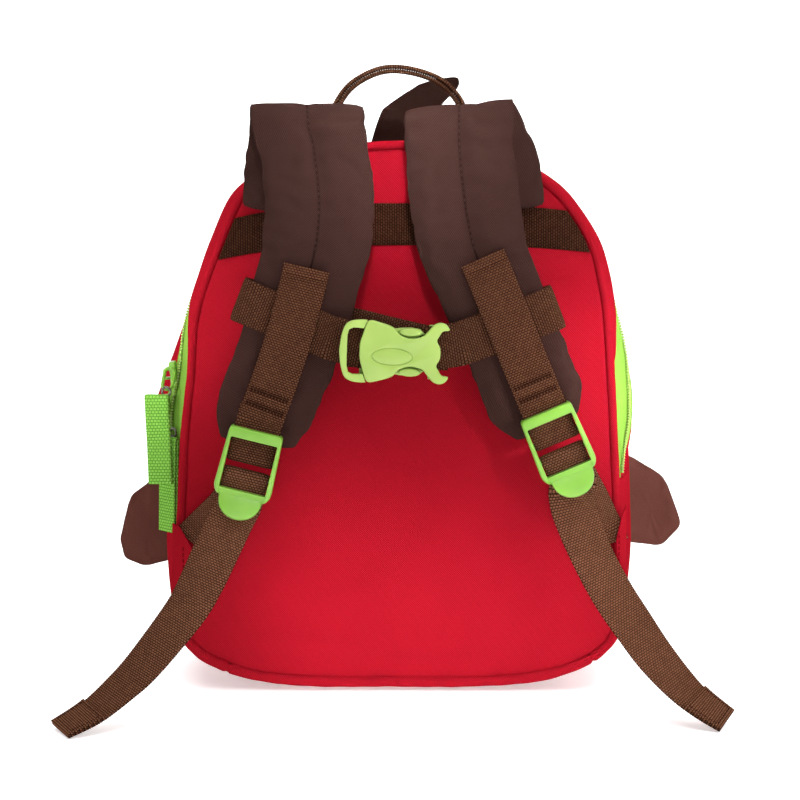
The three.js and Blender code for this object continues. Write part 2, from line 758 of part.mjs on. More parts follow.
// Padded strap with a sewn groove down its front
function paddedStrap(rows) {
  const keys = ["x", "y", "z", "wide", "thick", "lean"];
  const stations = smoothRows(rows, keys, 2);
  const points = 12;
  const sections = stations.map((row, i) => {
    const before = stations[Math.max(i - 1, 0)];
    const after = stations[Math.min(i + 1, stations.length - 1)];
    const along = vec(after.x - before.x, after.y - before.y, after.z - before.z).normalize();
    const across = widthDirection(row.lean);
    across.addScaledVector(along, -across.dot(along)).normalize();
    const out = across.clone().cross(along);
    return Array.from({ length: points }, (_, k) => {
      const angle = (2 * Math.PI * k) / points;
      const c = Math.cos(angle);
      const s = Math.sin(angle);
      const side = Math.sign(c) * Math.abs(c) ** 0.6 * (row.wide / 2);
      const dent = k === points / 4 ? STRAP_GROOVE : 0;
      const face = Math.sign(s) * Math.abs(s) ** 0.55 * (row.thick / 2) - dent;
      return vec(row.x, row.y, row.z).addScaledVector(across, side).addScaledVector(out, -face);
    });
  });
  return loft(sections);
}

// Ladder lock, made with its top edge at the origin, its length down -Z and its front towards -Y
function ladderLock() {
  const { topWidth, lowWidth, length, window: opening, front, back } = LOCK_SIZE;
  const corner = 2.4;
  const outline = [
    { x: -topWidth / 2 + corner, z: 0 },
    { x: topWidth / 2 - corner, z: 0 },
    { x: topWidth / 2, z: -corner },
    { x: lowWidth / 2, z: -length + 5 },
    { x: lowWidth / 2 - 1.6, z: -length + 1 },
    { x: -lowWidth / 2 + 1.6, z: -length + 1 },
    { x: -lowWidth / 2, z: -length + 5 },
    { x: -topWidth / 2, z: -corner },
  ];
  const half = opening / 2;
  let shape = plate(outline, -front, -back);
  shape = shape.subtract(box(-half, half, -front - 1, -back + 1, -LOCK_LOW_BAR, -LOCK_TOP_BAR));
  shape = shape.subtract(box(-half, half, 0, -back + 1, -length - 1, 1));
  for (const along of [LOCK_FIXED_BAR, LOCK_SLIDE_BAR]) {
    const bar = new THREE.CylinderGeometry(LOCK_BAR_RADIUS, LOCK_BAR_RADIUS, opening + 1, 10);
    bar.rotateZ(Math.PI / 2);
    bar.translate(0, -LOCK_BAR_DEPTH, -along);
    shape = shape.add(toManifold(bar));
  }
  const tab = spread(0, Math.PI, 8).map((angle) => ({
    x: -Math.cos(angle) * (LOCK_TAB.width / 2),
    z: -length + 2 - Math.sin(angle) ** 0.7 * (LOCK_TAB.length - 1),
  }));
  shape = shape.add(plate(tab.reverse(), -front - 0.8, -front + 2.2));
  return fromManifold(shape);
}

// A place in a lock: along its length, and out from its front plane
function lockPlace(lock, along, out) {
  const lean = radians(lock.lean);
  return vec(lock.x + Math.sin(lean) * along, lock.y - out, lock.z - Math.cos(lean) * along);
}

const WEB_TURN = LOCK_BAR_RADIUS + GAP + WEBBING_THICK / 2;
const WEB_FRONT = LOCK_BAR_DEPTH + WEB_TURN;

// Stations round a bar of the lock; from and to are angles, 90 to the front, 0 down the lock
function lockTurn(lock, along, from, to) {
  const across = widthDirection(lock.lean);
  return spread(from, to, 6).map((angle) => ({
    place: lockPlace(
      lock,
      along + WEB_TURN * Math.cos(radians(angle)),
      LOCK_BAR_DEPTH + WEB_TURN * Math.sin(radians(angle)),
    ),
    across,
  }));
}

function strapWebbing(rows, lock) {
  const across = widthDirection(lock.lean);
  const at = (along, out) => ({ place: lockPlace(lock, along, out), across });
  const stations = [
    ...smoothRows(rows, ["x", "y", "z", "lean"], 2).map(stationAt),
    at(-4, WEB_FRONT),
    at(4, WEB_FRONT),
    ...lockTurn(lock, LOCK_FIXED_BAR, 90, -90),
    at(9, -5.4),
    at(4, -3.5),
    at(-2, WEB_FRONT - WEBBING_THICK - GAP),
    at(-12, WEB_FRONT - WEBBING_THICK - GAP + 0.3),
  ];
  return ribbon(stations, WEBBING_WIDTH, WEBBING_THICK);
}

function lowerWebbing(anchorRows, lock, tailRows) {
  const keys = ["x", "y", "z", "lean", "turn"];
  const across = widthDirection(lock.lean);
  const at = (along, out) => ({ place: lockPlace(lock, along, out), across });
  const tail = smoothRows(tailRows, keys, 3).map(stationAt);
  const stations = [
    ...smoothRows(anchorRows, keys, 2).map(stationAt),
    at(30, LOCK_BAR_DEPTH - WEB_TURN),
    ...lockTurn(lock, LOCK_SLIDE_BAR, -90, -270),
    at(29, WEB_FRONT),
    at(38.5, WEB_FRONT),
    ...tail,
  ];
  return ribbon(stations, WEBBING_WIDTH, WEBBING_THICK);
}

// Buckle frame: along its length to the right, out to the front, up across it
function bucklePlace(along, out, up) {
  const lean = radians(BUCKLE.lean);
  return vec(
    BUCKLE.x + Math.cos(lean) * along - Math.sin(lean) * up,
    BUCKLE.y - out,
    BUCKLE.z + Math.sin(lean) * along + Math.cos(lean) * up,
  );
}
const BAR_OUT = -3;
const BUCKLE_TURN = BUCKLE_BAR_RADIUS + GAP + WEBBING_THICK / 2;

// Stations round an upright bar of the buckle; angle 90 is to the front, 0 to the right
function buckleTurn(barX, from, to, lean) {
  const across = widthDirection(lean + 90);
  return spread(from, to, 6).map((angle) => ({
    place: bucklePlace(
      barX + BUCKLE_TURN * Math.cos(radians(angle)),
      BAR_OUT + BUCKLE_TURN * Math.sin(radians(angle)),
      0,
    ),
    across,
  }));
}

// A chest strap half: a turn on the buckle bar, the front run, a turn round the strap, the back run
function chestStrap(side, barX, { front, turn, back }) {
  const acrossAt = (lean, tilt) => {
    const across = widthDirection(90 + side * lean);
    across.y = tilt;
    return across.normalize();
  };
  const run = (rows) =>
    smoothRows(rows, ["x", "y", "z", "lean"], 2).map((row) => ({
      place: vec(row.x, row.y, row.z),
      across: acrossAt(row.lean, CHEST_TILT),
    }));
  const slope = side * Math.tan(radians(CHEST_LEAN));
  const turnStations = spread(90, 270, 8).map((angle) => {
    const reach = side * CHEST_TURN_RADIUS * Math.abs(Math.cos(radians(angle)));
    return {
      place: vec(
        turn.x + reach,
        turn.y - CHEST_TURN_RADIUS * Math.sin(radians(angle)),
        turn.z + slope * reach,
      ),
      across: acrossAt(CHEST_LEAN, CHEST_TILT),
    };
  });
  const upright = widthDirection(90 + BUCKLE.lean);
  const start = bucklePlace(barX + side * 9, BAR_OUT - BUCKLE_TURN, 0);
  const bar = buckleTurn(barX, -90, side > 0 ? -270 : 90, BUCKLE.lean);
  const stations = [
    { place: start, across: upright },
    ...bar,
    ...run(front),
    ...turnStations,
    ...run(back),
  ];
  return ribbon(stations, WEBBING_WIDTH - 1, WEBBING_THICK);
}

// The upper half of an outline and its mirror image, as one closed outline
function mirrored(rows) {
  const upper = rows.map((row) => ({ x: row.x, z: row.half }));
  const lower = rows.filter((row) => row.half > 0).map((row) => ({ x: row.x, z: -row.half }));
  return [...upper, ...lower.reverse()].reverse();
}

// Posts on both sides, between a near and a far end along the buckle
function posts(from, to, deep, back) {
  return box(from, to, deep, back, 12.3, 15).add(box(from, to, deep, back, -15, -12.3));
}

// Socket: front plate with horns, back plate, a rib between them and a bar for the webbing
function buckleSocket() {
  const front = -BUCKLE_THICK / 2;
  const back = BUCKLE_THICK / 2;
  const behindPlate = front + BUCKLE_PLATE;
  let shape = plate(mirrored(SOCKET_HALF_ROWS), front, behindPlate);
  shape = shape.add(box(-11.6, 13, back - 1.5, back, -11.5, 11.5));
  shape = shape.add(box(-4, 12.6, behindPlate - 0.5, back - 1, -5.5, 5.5));
  shape = shape.add(posts(17.4, 22.4, behindPlate - 0.5, back));
  shape = shape.add(upright(HORN_BAR_X, -BAR_OUT, 14, BUCKLE_BAR_RADIUS));
  return fromManifold(shape);
}

// Pronged part: slot frame, bar for the webbing and two sprung arms in the socket
function buckleProngs() {
  const front = -BUCKLE_THICK / 2;
  const back = BUCKLE_THICK / 2;
  const behindPlate = front + BUCKLE_PLATE;
  const upper = FRAME_HALF_ROWS.map((row) => ({ x: row.x, z: row.half }));
  const lower = upper.slice(1, -1).map((point) => ({ x: point.x, z: -point.z }));
  const outside = upper.slice(0, 6);
  const inside = upper.slice(6);
  const outline = [...lower.slice(0, 5).reverse(), ...outside, ...inside, ...lower.slice(5).reverse()];
  let shape = plate(outline.reverse(), front, behindPlate);
  shape = shape.add(posts(-18.4, -16.2, behindPlate - 0.5, back));
  shape = shape.add(upright(FRAME_BAR_X, -BAR_OUT, 14, BUCKLE_BAR_RADIUS));
  for (const side of [-1, 1]) {
    const arm = ARM_ROWS.map((row) => ({ x: row.x, z: side * row.half }));
    shape = shape.add(plate(side > 0 ? arm : arm.reverse(), behindPlate + GAP, back - 1.5 - GAP));
  }
  return fromManifold(shape);
}

function grabHandle() {
  const stations = smoothRows(HANDLE_ROWS, ["x", "z"], 2).map((row) => ({
    place: vec(row.x, HANDLE_Y, row.z),
    across: vec(0, -1, 0),
  }));
  return ribbon(stations, HANDLE_WIDTH, HANDLE_THICK);
}

// A flat padded trim: an outline with swollen faces and a thin sewn edge
function paddedTrim(rows, y, thick, steps) {
  const looped = [rows[rows.length - 1], ...rows, rows[0], rows[1]];
  const edge = smoothRows(looped, ["x", "z"], steps).slice(steps, steps * (rows.length + 1));
  const middle = { x: 0, z: 0 };
  for (const row of rows) {
    middle.x += row.x / rows.length;
    middle.z += row.z / rows.length;
  }
  const rings = [
    { share: 0.6, swell: 0.92 },
    { share: 0.88, swell: 0.62 },
    { share: 1, swell: 0.2 },
  ];
  const face = (side) => ({
    middle: vec(middle.x, y + (side * thick) / 2, middle.z),
    rings: rings.map((ring) =>
      edge.map((point) =>
        vec(
          middle.x + ring.share * (point.x - middle.x),
          y + (side * ring.swell * thick) / 2,
          middle.z + ring.share * (point.z - middle.z),
        ),
      ),
    ),
  });
  return dish(face(-1), face(1));
}

// Red tab, thin at the seam and lifted over the webbing at its tip
function cornerTab(rows) {
  const reach = rows.map((row) => Math.abs(row.x));
  const root = Math.max(...reach);
  const tip = Math.min(...reach);
  const face = (shift) => {
    const points = rows.map((row) => {
      const share = ((root - Math.abs(row.x)) / (root - tip)) ** 0.5;
      return vec(row.x, THREE.MathUtils.lerp(TAB_ROOT_Y, TAB_TIP_Y, share) - shift, row.z);
    });
    const middle = vec(0, 0, 0);
    for (const point of points) {
      middle.addScaledVector(point, 1 / points.length);
    }
    return { middle, rings: [points] };
  };
  return dish(face(TAB_THICK), face(0));
}

// Share of the seam on the left side at a height
const leftShare = (height) => 1 - shareAtHeight(height);

function zipCoil() {
  const sections = upperShares.map((share) => {
    const corner = (across, rise) => gussetPoint(share, ZIP_COIL_Y + across, -GAP - rise);
    return [corner(-2.4, 0), corner(-1.4, 1.7), corner(1.4, 1.7), corner(2.4, 0)];
  });
  return loft(sections);
}

// Slider over the coil: a rounded block with a raised bridge
function zipSlider(pull) {
  const share = leftShare(pull.sliderZ);
  const seam = seamAt(share);
  const base = gussetPoint(share, ZIP_COIL_Y);
  const { long, wide, tall } = SLIDER_SIZE;
  const profile = [
    { along: -0.5, half: 0.34 },
    { along: -0.2, half: 0.5 },
    { along: 0.3, half: 0.42 },
    { along: 0.5, half: 0.22 },
  ];
  const start = GAP + 1.7 + 3 * GAP;
  const along = vec(-seam.outZ, 0, seam.outX);
  const out = vec(seam.outX, 0, seam.outZ);
  const point = (row, side, rise) =>
    base
      .clone()
      .addScaledVector(along, row.along * long)
      .addScaledVector(out, start + rise)
      .add(vec(0, side * row.half * wide, 0));
  const sections = profile.map((row, i) => {
    const bridge = i === 1 || i === 2 ? tall : tall * 0.45;
    return [point(row, -1, 0), point(row, 1, 0), point(row, 0.55, bridge), point(row, -0.55, bridge)];
  });
  const body = toManifold(loft(sections));
  const root = base.clone().addScaledVector(out, start + tall * 0.6);
  const tongue = ribbon(
    [
      { place: root.clone().add(vec(0, -1.5, 0)), across: along },
      { place: root.clone().add(vec(0, -6, -2)), across: along },
      { place: vec(pull.ringX, pull.y + 6.2, pull.ringZ + 1.5), across: along },
    ],
    4.4,
    1.4,
  );
  return fromManifold(body.add(toManifold(tongue)));
}

const PULL_LAYER = (PULL_THICK + GAP) / 2 + 0.1;

// Ring that stands behind the top of its tab
function zipRing(row) {
  const geometry = new THREE.TorusGeometry(RING_RADIUS, RING_WIRE, 6, 12);
  const behind = PULL_LAYER + PULL_THICK / 2 + GAP + RING_WIRE;
  const turn = radians(row.turn);
  geometry.rotateX(Math.PI / 2);
  geometry.rotateZ(-turn);
  const swing = Math.sin(turn) * (row.ringX - row.topX);
  geometry.translate(row.ringX + Math.sin(turn) * behind, row.y + Math.cos(turn) * behind - swing, row.ringZ);
  return fromManifold(toManifold(geometry));
}

// Webbing tab folded in half, fold at the top
function zipPull(row) {
  const across = widthDirection(0, row.turn);
  const face = vec(across.y, -across.x, 0);
  const place = (height, out, share) =>
    vec(THREE.MathUtils.lerp(row.bottomX, row.topX, share), row.y, height).addScaledVector(face, out);
  const foldZ = row.topZ - PULL_LAYER;
  const down = [
    { z: foldZ - 14, share: 0.7 },
    { z: (foldZ + row.bottomZ) / 2, share: 0.4 },
    { z: row.bottomZ, share: 0 },
  ];
  const front = down.map((step) => ({ place: place(step.z, PULL_LAYER, step.share), across }));
  const back = down.map((step) => ({ place: place(step.z, -PULL_LAYER, step.share), across }));
  const turn = spread(0, 180, 6).map((angle) => ({
    place: place(foldZ + PULL_LAYER * Math.sin(radians(angle)), PULL_LAYER * Math.cos(radians(angle)), 1),
    across,
  }));
  return ribbon([...front.reverse(), ...turn, ...back], PULL_WIDTH, PULL_THICK);
}

// Assembly

const group = new THREE.Group();
group.name = "mini_backpack";

function add(name, geometry, look) {
  const mesh = new THREE.Mesh(geometry, new THREE.MeshStandardMaterial(look));
  mesh.name = name;
  group.add(mesh);
}

add("back_panel", panel(BACK_SEAM_Y, BACK_CROWN, backSeamPoint, -1), RED);
add("back_piping", piping(BACK_SEAM_Y, backSeamPoint), RED);
add("gusset_lower", gussetBand(lowerShares, [-45, -36, -20, -2, 16, 29, 37], CLOTH_THICK), RED);
add("gusset_upper_back", gussetBand(upperShares, [-45, -38, -29, ZIP_BACK_Y - GAP], CLOTH_THICK), RED);
add("gusset_upper_front", gussetBand(upperShares, [ZIP_FRONT_Y + GAP, 12, 22, 31, 37], CLOTH_THICK), RED);
add("front_piping", piping(FRONT_SEAM_Y, frontSeamPoint), RED);
add("front_panel", panel(FRONT_SEAM_Y, FRONT_CROWN, frontSeamPoint, 1), RED);

const tapeDepths = [ZIP_BACK_Y, ZIP_COIL_Y - 2.4, ZIP_COIL_Y + 2.4, ZIP_FRONT_Y];
add("zip_tape", gussetBand(upperShares, tapeDepths, ZIP_TAPE_THICK), LIME_CLOTH);
add("zip_coil", zipCoil(), LIME_PLASTIC);
for (const row of ZIP_PULL_ROWS) {
  add(`zip_slider_${row.name}`, zipSlider(row), LIME_PLASTIC);
  add(`zip_ring_${row.name}`, zipRing(row), STEEL);
  add(`zip_pull_${row.name}`, zipPull(row), LIME_CLOTH);
}

add("yoke_webbing", yokeWebbing(), BROWN_WEBBING);
add("shoulder_strap_left", paddedStrap(LEFT_STRAP_ROWS), BROWN_CLOTH);
add("shoulder_strap_right", paddedStrap(RIGHT_STRAP_ROWS), BROWN_CLOTH);
add("strap_webbing_left", strapWebbing(LEFT_STRAP_WEBBING_ROWS, LEFT_LOCK), BROWN_WEBBING);
add("strap_webbing_right", strapWebbing(RIGHT_STRAP_WEBBING_ROWS, RIGHT_LOCK), BROWN_WEBBING);
add("ladder_lock_left", placed(ladderLock(), LEFT_LOCK), LIME_PLASTIC);
add("ladder_lock_right", placed(ladderLock(), RIGHT_LOCK), LIME_PLASTIC);
add("lower_webbing_left", lowerWebbing(LEFT_ANCHOR_ROWS, LEFT_LOCK, LEFT_TAIL_ROWS), BROWN_WEBBING);
add("lower_webbing_right", lowerWebbing(RIGHT_ANCHOR_ROWS, RIGHT_LOCK, RIGHT_TAIL_ROWS), BROWN_WEBBING);
add("corner_tab_left", cornerTab(LEFT_TAB_ROWS), RED);
add("corner_tab_right", cornerTab(RIGHT_TAB_ROWS), RED);
const leftRuns = { front: LEFT_CHEST_FRONT_ROWS, turn: LEFT_CHEST_TURN, back: LEFT_CHEST_BACK_ROWS };
const rightRuns = { front: RIGHT_CHEST_FRONT_ROWS, turn: RIGHT_CHEST_TURN, back: RIGHT_CHEST_BACK_ROWS };
add("chest_strap_left", chestStrap(-1, FRAME_BAR_X, leftRuns), BROWN_WEBBING);
add("chest_strap_right", chestStrap(1, HORN_BAR_X, rightRuns), BROWN_WEBBING);
add("buckle_socket", placed(buckleSocket(), BUCKLE), LIME_PLASTIC);
add("buckle_prongs", placed(buckleProngs(), BUCKLE), LIME_PLASTIC);
add("grab_handle", grabHandle(), BROWN_WEBBING);

add("top_tuft", paddedTrim(TUFT_ROWS, TUFT_Y, TRIM_THICK, 2), BROWN_CLOTH);
add("side_flap_left", paddedTrim(LEFT_FLAP_ROWS, FLAP_Y, TRIM_THICK, 3), BROWN_CLOTH);
add("side_flap_right", paddedTrim(RIGHT_FLAP_ROWS, FLAP_Y, TRIM_THICK, 4), BROWN_CLOTH);

export default group;
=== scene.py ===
"""A child's mini backpack that stands on its base: red twill, brown padded straps, lime plastic and zip."""
import math

import bmesh
import bpy
import numpy as np
from mathutils import Matrix, Vector
from mathutils.bvhtree import BVHTree


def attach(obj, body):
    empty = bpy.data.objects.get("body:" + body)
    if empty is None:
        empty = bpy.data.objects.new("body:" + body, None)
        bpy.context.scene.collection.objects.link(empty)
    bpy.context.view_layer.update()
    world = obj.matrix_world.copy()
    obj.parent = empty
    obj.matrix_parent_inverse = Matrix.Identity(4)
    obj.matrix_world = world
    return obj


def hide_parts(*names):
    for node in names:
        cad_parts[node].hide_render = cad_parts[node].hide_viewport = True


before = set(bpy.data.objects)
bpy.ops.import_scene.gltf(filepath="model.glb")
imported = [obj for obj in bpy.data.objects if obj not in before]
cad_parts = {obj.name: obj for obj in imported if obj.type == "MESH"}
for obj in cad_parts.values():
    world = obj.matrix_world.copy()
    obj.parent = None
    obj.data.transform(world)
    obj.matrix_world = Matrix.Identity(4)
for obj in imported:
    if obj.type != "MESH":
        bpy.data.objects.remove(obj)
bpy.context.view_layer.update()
scene = bpy.context.scene
MM = 0.001
WHITE = (1, 1, 1, 1)
SIDES = ("left", "right")

# Camera at the photograph's angle
IMAGE_SIZE = 800
FOCAL_PIXELS = 2359
SENSOR_WIDTH = 36
CAMERA_PLACE = (0.5 * MM, -1300 * MM, 317 * MM)
CAMERA_DROP = 7.2
camera_data = bpy.data.cameras.new("photo_camera")
camera_data.sensor_width = SENSOR_WIDTH
camera_data.lens = SENSOR_WIDTH * FOCAL_PIXELS / IMAGE_SIZE
camera = bpy.data.objects.new("photo_camera", camera_data)
camera.location = CAMERA_PLACE
camera.rotation_euler = (math.radians(90 - CAMERA_DROP), 0, 0)
scene.collection.objects.link(camera)
scene.camera = camera

# Soft studio light; a lamp with a small spread lights one area only
WORLD_STRENGTH = 0.25
OPEN = 180
# Columns: name, place, target, size, power, spread
LAMPS = (
    ("overhead_light", (0.1, -0.25, 1.4), (0, -0.05, 0), 1.6, 25, OPEN),
    ("key_light", (0.85, -0.75, 0.55), (0, -0.05, 0.16), 0.6, 6, OPEN),
    ("top_light", (0.02, -0.95, 0.75), (0, -0.05, 0.292), 0.1, 0.085, 9),
    ("low_light", (0.0, -0.75, 0.06), (0.02, -0.05, 0.0), 0.2, 0.16, 11),
    ("right_light", (0.55, -0.8, 0.3), (0.12, -0.05, 0.175), 0.06, 0.066, 10.5),
    ("left_light", (-0.55, -0.8, 0.3), (-0.12, -0.05, 0.205), 0.06, 0.03, 10),
)
scene.view_settings.view_transform = "Standard"
world = bpy.data.worlds.new("studio")
world.use_nodes = True
background = world.node_tree.nodes["Background"]
background.inputs["Color"].default_value = WHITE
background.inputs["Strength"].default_value = WORLD_STRENGTH
scene.world = world
for name, place, target, size, power, spread in LAMPS:
    lamp = bpy.data.lights.new(name, "AREA")
    lamp.size = size
    lamp.energy = power
    lamp.spread = math.radians(spread)
    lamp_object = bpy.data.objects.new(name, lamp)
    lamp_object.location = place
    aim = Vector(target) - Vector(place)
    lamp_object.rotation_euler = aim.to_track_quat("-Z", "Y").to_euler()
    lamp_object.visible_camera = False
    scene.collection.objects.link(lamp_object)

# Materials

CLOTH_MAP = "cloth"
RED = "red_twill"
LIME_CLOTH = "lime_cloth"
LIME_PLASTIC = "lime_plastic"
BROWN_WEBBING = "brown_webbing"
BROWN_PADDING = "brown_padding"
RING_METAL = "ring_metal"
CLOTH_ROUGHNESS = 0.85
CLOTH_SHEEN = 0.04
SHEEN_ROUGHNESS = 0.45
TWILL_ZOOM = 0.444
WEAVE_ZOOM = 0.37
PLASTIC_ROUGHNESS = 0.34
METAL_ROUGHNESS = 0.28
METAL_DULLING = 0.8


def linear(screen):
    """A shader colour from screen values of 0 to 255."""
    shares = [value / 255 for value in screen]
    return tuple(s / 12.92 if s <= 0.04045 else ((s + 0.055) / 1.055) ** 2.4 for s in shares) + (1.0,)


def grey(value):
    return (value, value, value, 1.0)


class Finish:
    """A material built up from patterns, which are node outputs, and the slot of the pieces that wear it."""

    def __init__(self, name, slot, roughness):
        self.material = bpy.data.materials.new(name)
        self.material.use_nodes = True
        self.slot = slot
        self.shader = self.material.node_tree.nodes["Principled BSDF"]
        self.look({"Roughness": roughness})

    def fill(self, node, inputs):
        """Give a node's inputs plain values or patterns."""
        for name, value in inputs.items():
            if isinstance(value, bpy.types.NodeSocket):
                self.material.node_tree.links.new(value, node.inputs[name])
            else:
                node.inputs[name].default_value = value

    def look(self, inputs):
        self.fill(self.shader, inputs)

    def node(self, kind, inputs, **settings):
        node = self.material.node_tree.nodes.new(kind)
        for name, value in settings.items():
            setattr(node, name, value)
        self.fill(node, inputs)
        return node

    def on_cloth(self):
        """Places on the cloth, in millimetres across and along."""
        return self.node("ShaderNodeUVMap", {}, uv_map=CLOTH_MAP).outputs["UV"]

    def in_space(self):
        return self.node("ShaderNodeTexCoord", {}).outputs["Object"]

    def noise(self, place, scale, detail=2.0, roughness=0.5):
        inputs = {"Vector": place, "Scale": scale, "Detail": detail, "Roughness": roughness}
        return self.node("ShaderNodeTexNoise", inputs).outputs["Fac"]

    def ramp(self, pattern, first, second, low=0.3, high=0.7):
        """Two colours that blend between two shares of a pattern."""
        node = self.node("ShaderNodeValToRGB", {"Fac": pattern})
        for element, position, color in zip(node.color_ramp.elements, (low, high), (first, second)):
            element.position = position
            element.color = color
        return node.outputs["Color"]

    def shade(self, color, *patterns):
        """A colour darkened or lightened by patterns."""
        for pattern in patterns:
            inputs = {"Factor": 1.0, "A": color, "B": pattern}
            node = self.node("ShaderNodeMix", inputs, data_type="RGBA", blend_type="MULTIPLY")
            color = node.outputs["Result"]
        return color

    def relief(self, height, depth, strength=1.0, under=None):
        """A raised pattern, with its depth in millimetres, on top of another."""
        inputs = {"Height": height, "Distance": depth * MM, "Strength": strength}
        if under is not None:
            inputs["Normal"] = under
        return self.node("ShaderNodeBump", inputs).outputs["Normal"]


def cloth_finish(name, slot):
    """Cloth scarcely shines."""
    finish = Finish(name, slot, CLOTH_ROUGHNESS)
    finish.look({"Specular IOR Level": 0.0})
    return finish


def add_sheen(finish, weight, color):
    finish.look({"Sheen Weight": weight, "Sheen Roughness": SHEEN_ROUGHNESS, "Sheen Tint": color})


def twill(name, slot, dark, light, pitch, sheen=CLOTH_SHEEN, groove_shade=0.0):
    """Fine diagonal weave with uneven yarns and soft colours; if asked, a painted shade darkens a line along
    its middle, where a sewn groove lies in shade.
    """
    finish = cloth_finish(name, slot)
    add_sheen(finish, sheen, linear(light))
    cloth = finish.on_cloth()
    lines = finish.node(
        "ShaderNodeTexWave",
        {
            "Vector": cloth,
            "Scale": TWILL_ZOOM / pitch,
            "Distortion": 1.1,
            "Detail": 1.0,
            "Detail Scale": 1.4,
        },
        wave_type="BANDS",
        bands_direction="DIAGONAL",
    )
    weave = lines.outputs["Fac"]
    yarn = finish.noise(cloth, scale=1.6, detail=3.0, roughness=0.6)
    cloud = finish.noise(finish.in_space(), scale=16.0, detail=3.0, roughness=0.55)
    color = finish.shade(
        finish.ramp(weave, linear(dark), linear(light), low=0.1, high=0.8),
        finish.ramp(yarn, grey(0.86), grey(1.12)),
        finish.ramp(cloud, grey(0.93), grey(1.05)),
    )
    # Painted shade: the middle of the cloth is darkened for the shade inside the sewn groove of a padded
    # strap.
    if groove_shade > 0:
        split = finish.node("ShaderNodeSeparateXYZ", {"Vector": cloth})
        across = finish.node("ShaderNodeMath", {0: split.outputs["X"]}, operation="ABSOLUTE")
        color = finish.shade(color, finish.ramp(across.outputs[0], grey(0.4), grey(1.0), low=0.1, high=groove_shade))
    under = finish.relief(weave, depth=0.12)
    finish.look({"Base Color": color, "Normal": finish.relief(yarn, depth=0.1, strength=0.6, under=under)})
    return finish


def webbing_weave(name, slot, light, middle, gap, across=1.7, along=1.25):
    """Coarse flat webbing: rows of short floats, each row set half a float aside."""
    finish = cloth_finish(name, slot)
    add_sheen(finish, CLOTH_SHEEN, linear(light))
    cloth = finish.on_cloth()
    cells = finish.node(
        "ShaderNodeTexBrick",
        {
            "Vector": cloth,
            "Color1": linear(light),
            "Color2": linear(middle),
            "Mortar": linear(gap),
            "Scale": WEAVE_ZOOM,
            "Mortar Size": 0.125,
            "Mortar Smooth": 1.0,
            "Bias": 0.0,
            "Brick Width": across * WEAVE_ZOOM,
            "Row Height": along * WEAVE_ZOOM,
        },
        offset=0.5,
    )
    yarn = finish.noise(cloth, scale=2.2, detail=3.0, roughness=0.6)
    cloud = finish.noise(finish.in_space(), scale=30.0)
    color = finish.shade(
        cells.outputs["Color"],
        finish.ramp(yarn, grey(0.82), grey(1.16), low=0.25, high=0.75),
        finish.ramp(cloud, grey(0.95), grey(1.05)),
    )
    raised = finish.ramp(cells.outputs["Fac"], grey(1.0), grey(0.0), low=0.0, high=1.0)
    under = finish.relief(raised, depth=0.3)
    finish.look({"Base Color": color, "Normal": finish.relief(yarn, depth=0.12, strength=0.7, under=under)})
    return finish


def moulded_plastic(name, dark, light):
    """Satin plastic with a faint moulded grain and slight colour flow."""
    finish = Finish(name, LIME_PLASTIC, PLASTIC_ROUGHNESS)
    place = finish.in_space()
    flow = finish.noise(place, scale=60.0)
    grain = finish.noise(place, scale=1400.0)
    finish.look(
        {
            "Base Color": finish.ramp(flow, linear(dark), linear(light)),
            "Roughness": finish.ramp(grain, grey(PLASTIC_ROUGHNESS - 0.06), grey(PLASTIC_ROUGHNESS + 0.08)),
            "Normal": finish.relief(grain, depth=0.03, strength=0.5),
            "Subsurface Weight": 0.12,
            "Subsurface Radius": (0.6, 1.0, 0.2),
            "Subsurface Scale": 2 * MM,
        }
    )
    return finish


def plated_metal(name, color):
    """Plated wire with fine scratches."""
    finish = Finish(name, RING_METAL, METAL_ROUGHNESS)
    scratches = finish.noise(finish.in_space(), scale=900.0, detail=3.0)
    bright = linear(color)
    dull = tuple(METAL_DULLING * share for share in bright[:3]) + (1.0,)
    tone = finish.ramp(scratches, dull, bright)
    gloss = finish.ramp(scratches, grey(0.2), grey(0.4))
    finish.look({"Metallic": 1.0, "Base Color": tone, "Roughness": gloss})
    return finish


def sewing_thread(name, slot, dark, light):
    """Twisted thread."""
    finish = cloth_finish(name, slot)
    twist = finish.noise(finish.in_space(), scale=1500.0)
    tone = finish.ramp(twist, linear(dark), linear(light))
    finish.look({"Base Color": tone, "Normal": finish.relief(twist, depth=0.08)})
    return finish


red_cloth = twill("red_twill", RED, (128, 12, 23), (152, 21, 34), 0.85, sheen=0.0)
# The padded straps' cloth carries a painted shade line down its sewn groove.
strap_cloth = twill("strap_twill", BROWN_PADDING, (43, 27, 24), (60, 40, 36), 0.8, groove_shade=0.8)
# Painted shade: the top tuft's brown cloth is made darker for the shade that the straps and handle cast on
# it.
shaded_tuft_cloth = twill("shaded_tuft_twill", BROWN_PADDING, (32, 19, 16), (50, 33, 29), 0.62)
flap_cloth = twill("flap_twill", BROWN_PADDING, (85, 50, 43), (105, 66, 58), 0.62)
lime_tape = twill("lime_tape", LIME_CLOTH, (104, 145, 50), (128, 167, 70), 0.8, sheen=0.0)
brown_webbing = webbing_weave("brown_webbing", BROWN_WEBBING, (99, 64, 46), (86, 54, 39), (6, 2, 1))
# Painted light: the lower webbing and its tails are a lighter copy of the brown webbing, for the light that
# falls on them as they face up.
lit_tail_webbing = webbing_weave("lit_tail_webbing", BROWN_WEBBING, (116, 76, 56), (102, 66, 48), (8, 3, 2))
# Painted shade: the chest strap is a darker copy of the brown webbing, for the shade of the padded straps
# around it.
shaded_chest_webbing = webbing_weave("shaded_chest_webbing", BROWN_WEBBING, (90, 58, 42), (78, 49, 35), (6, 2, 1))
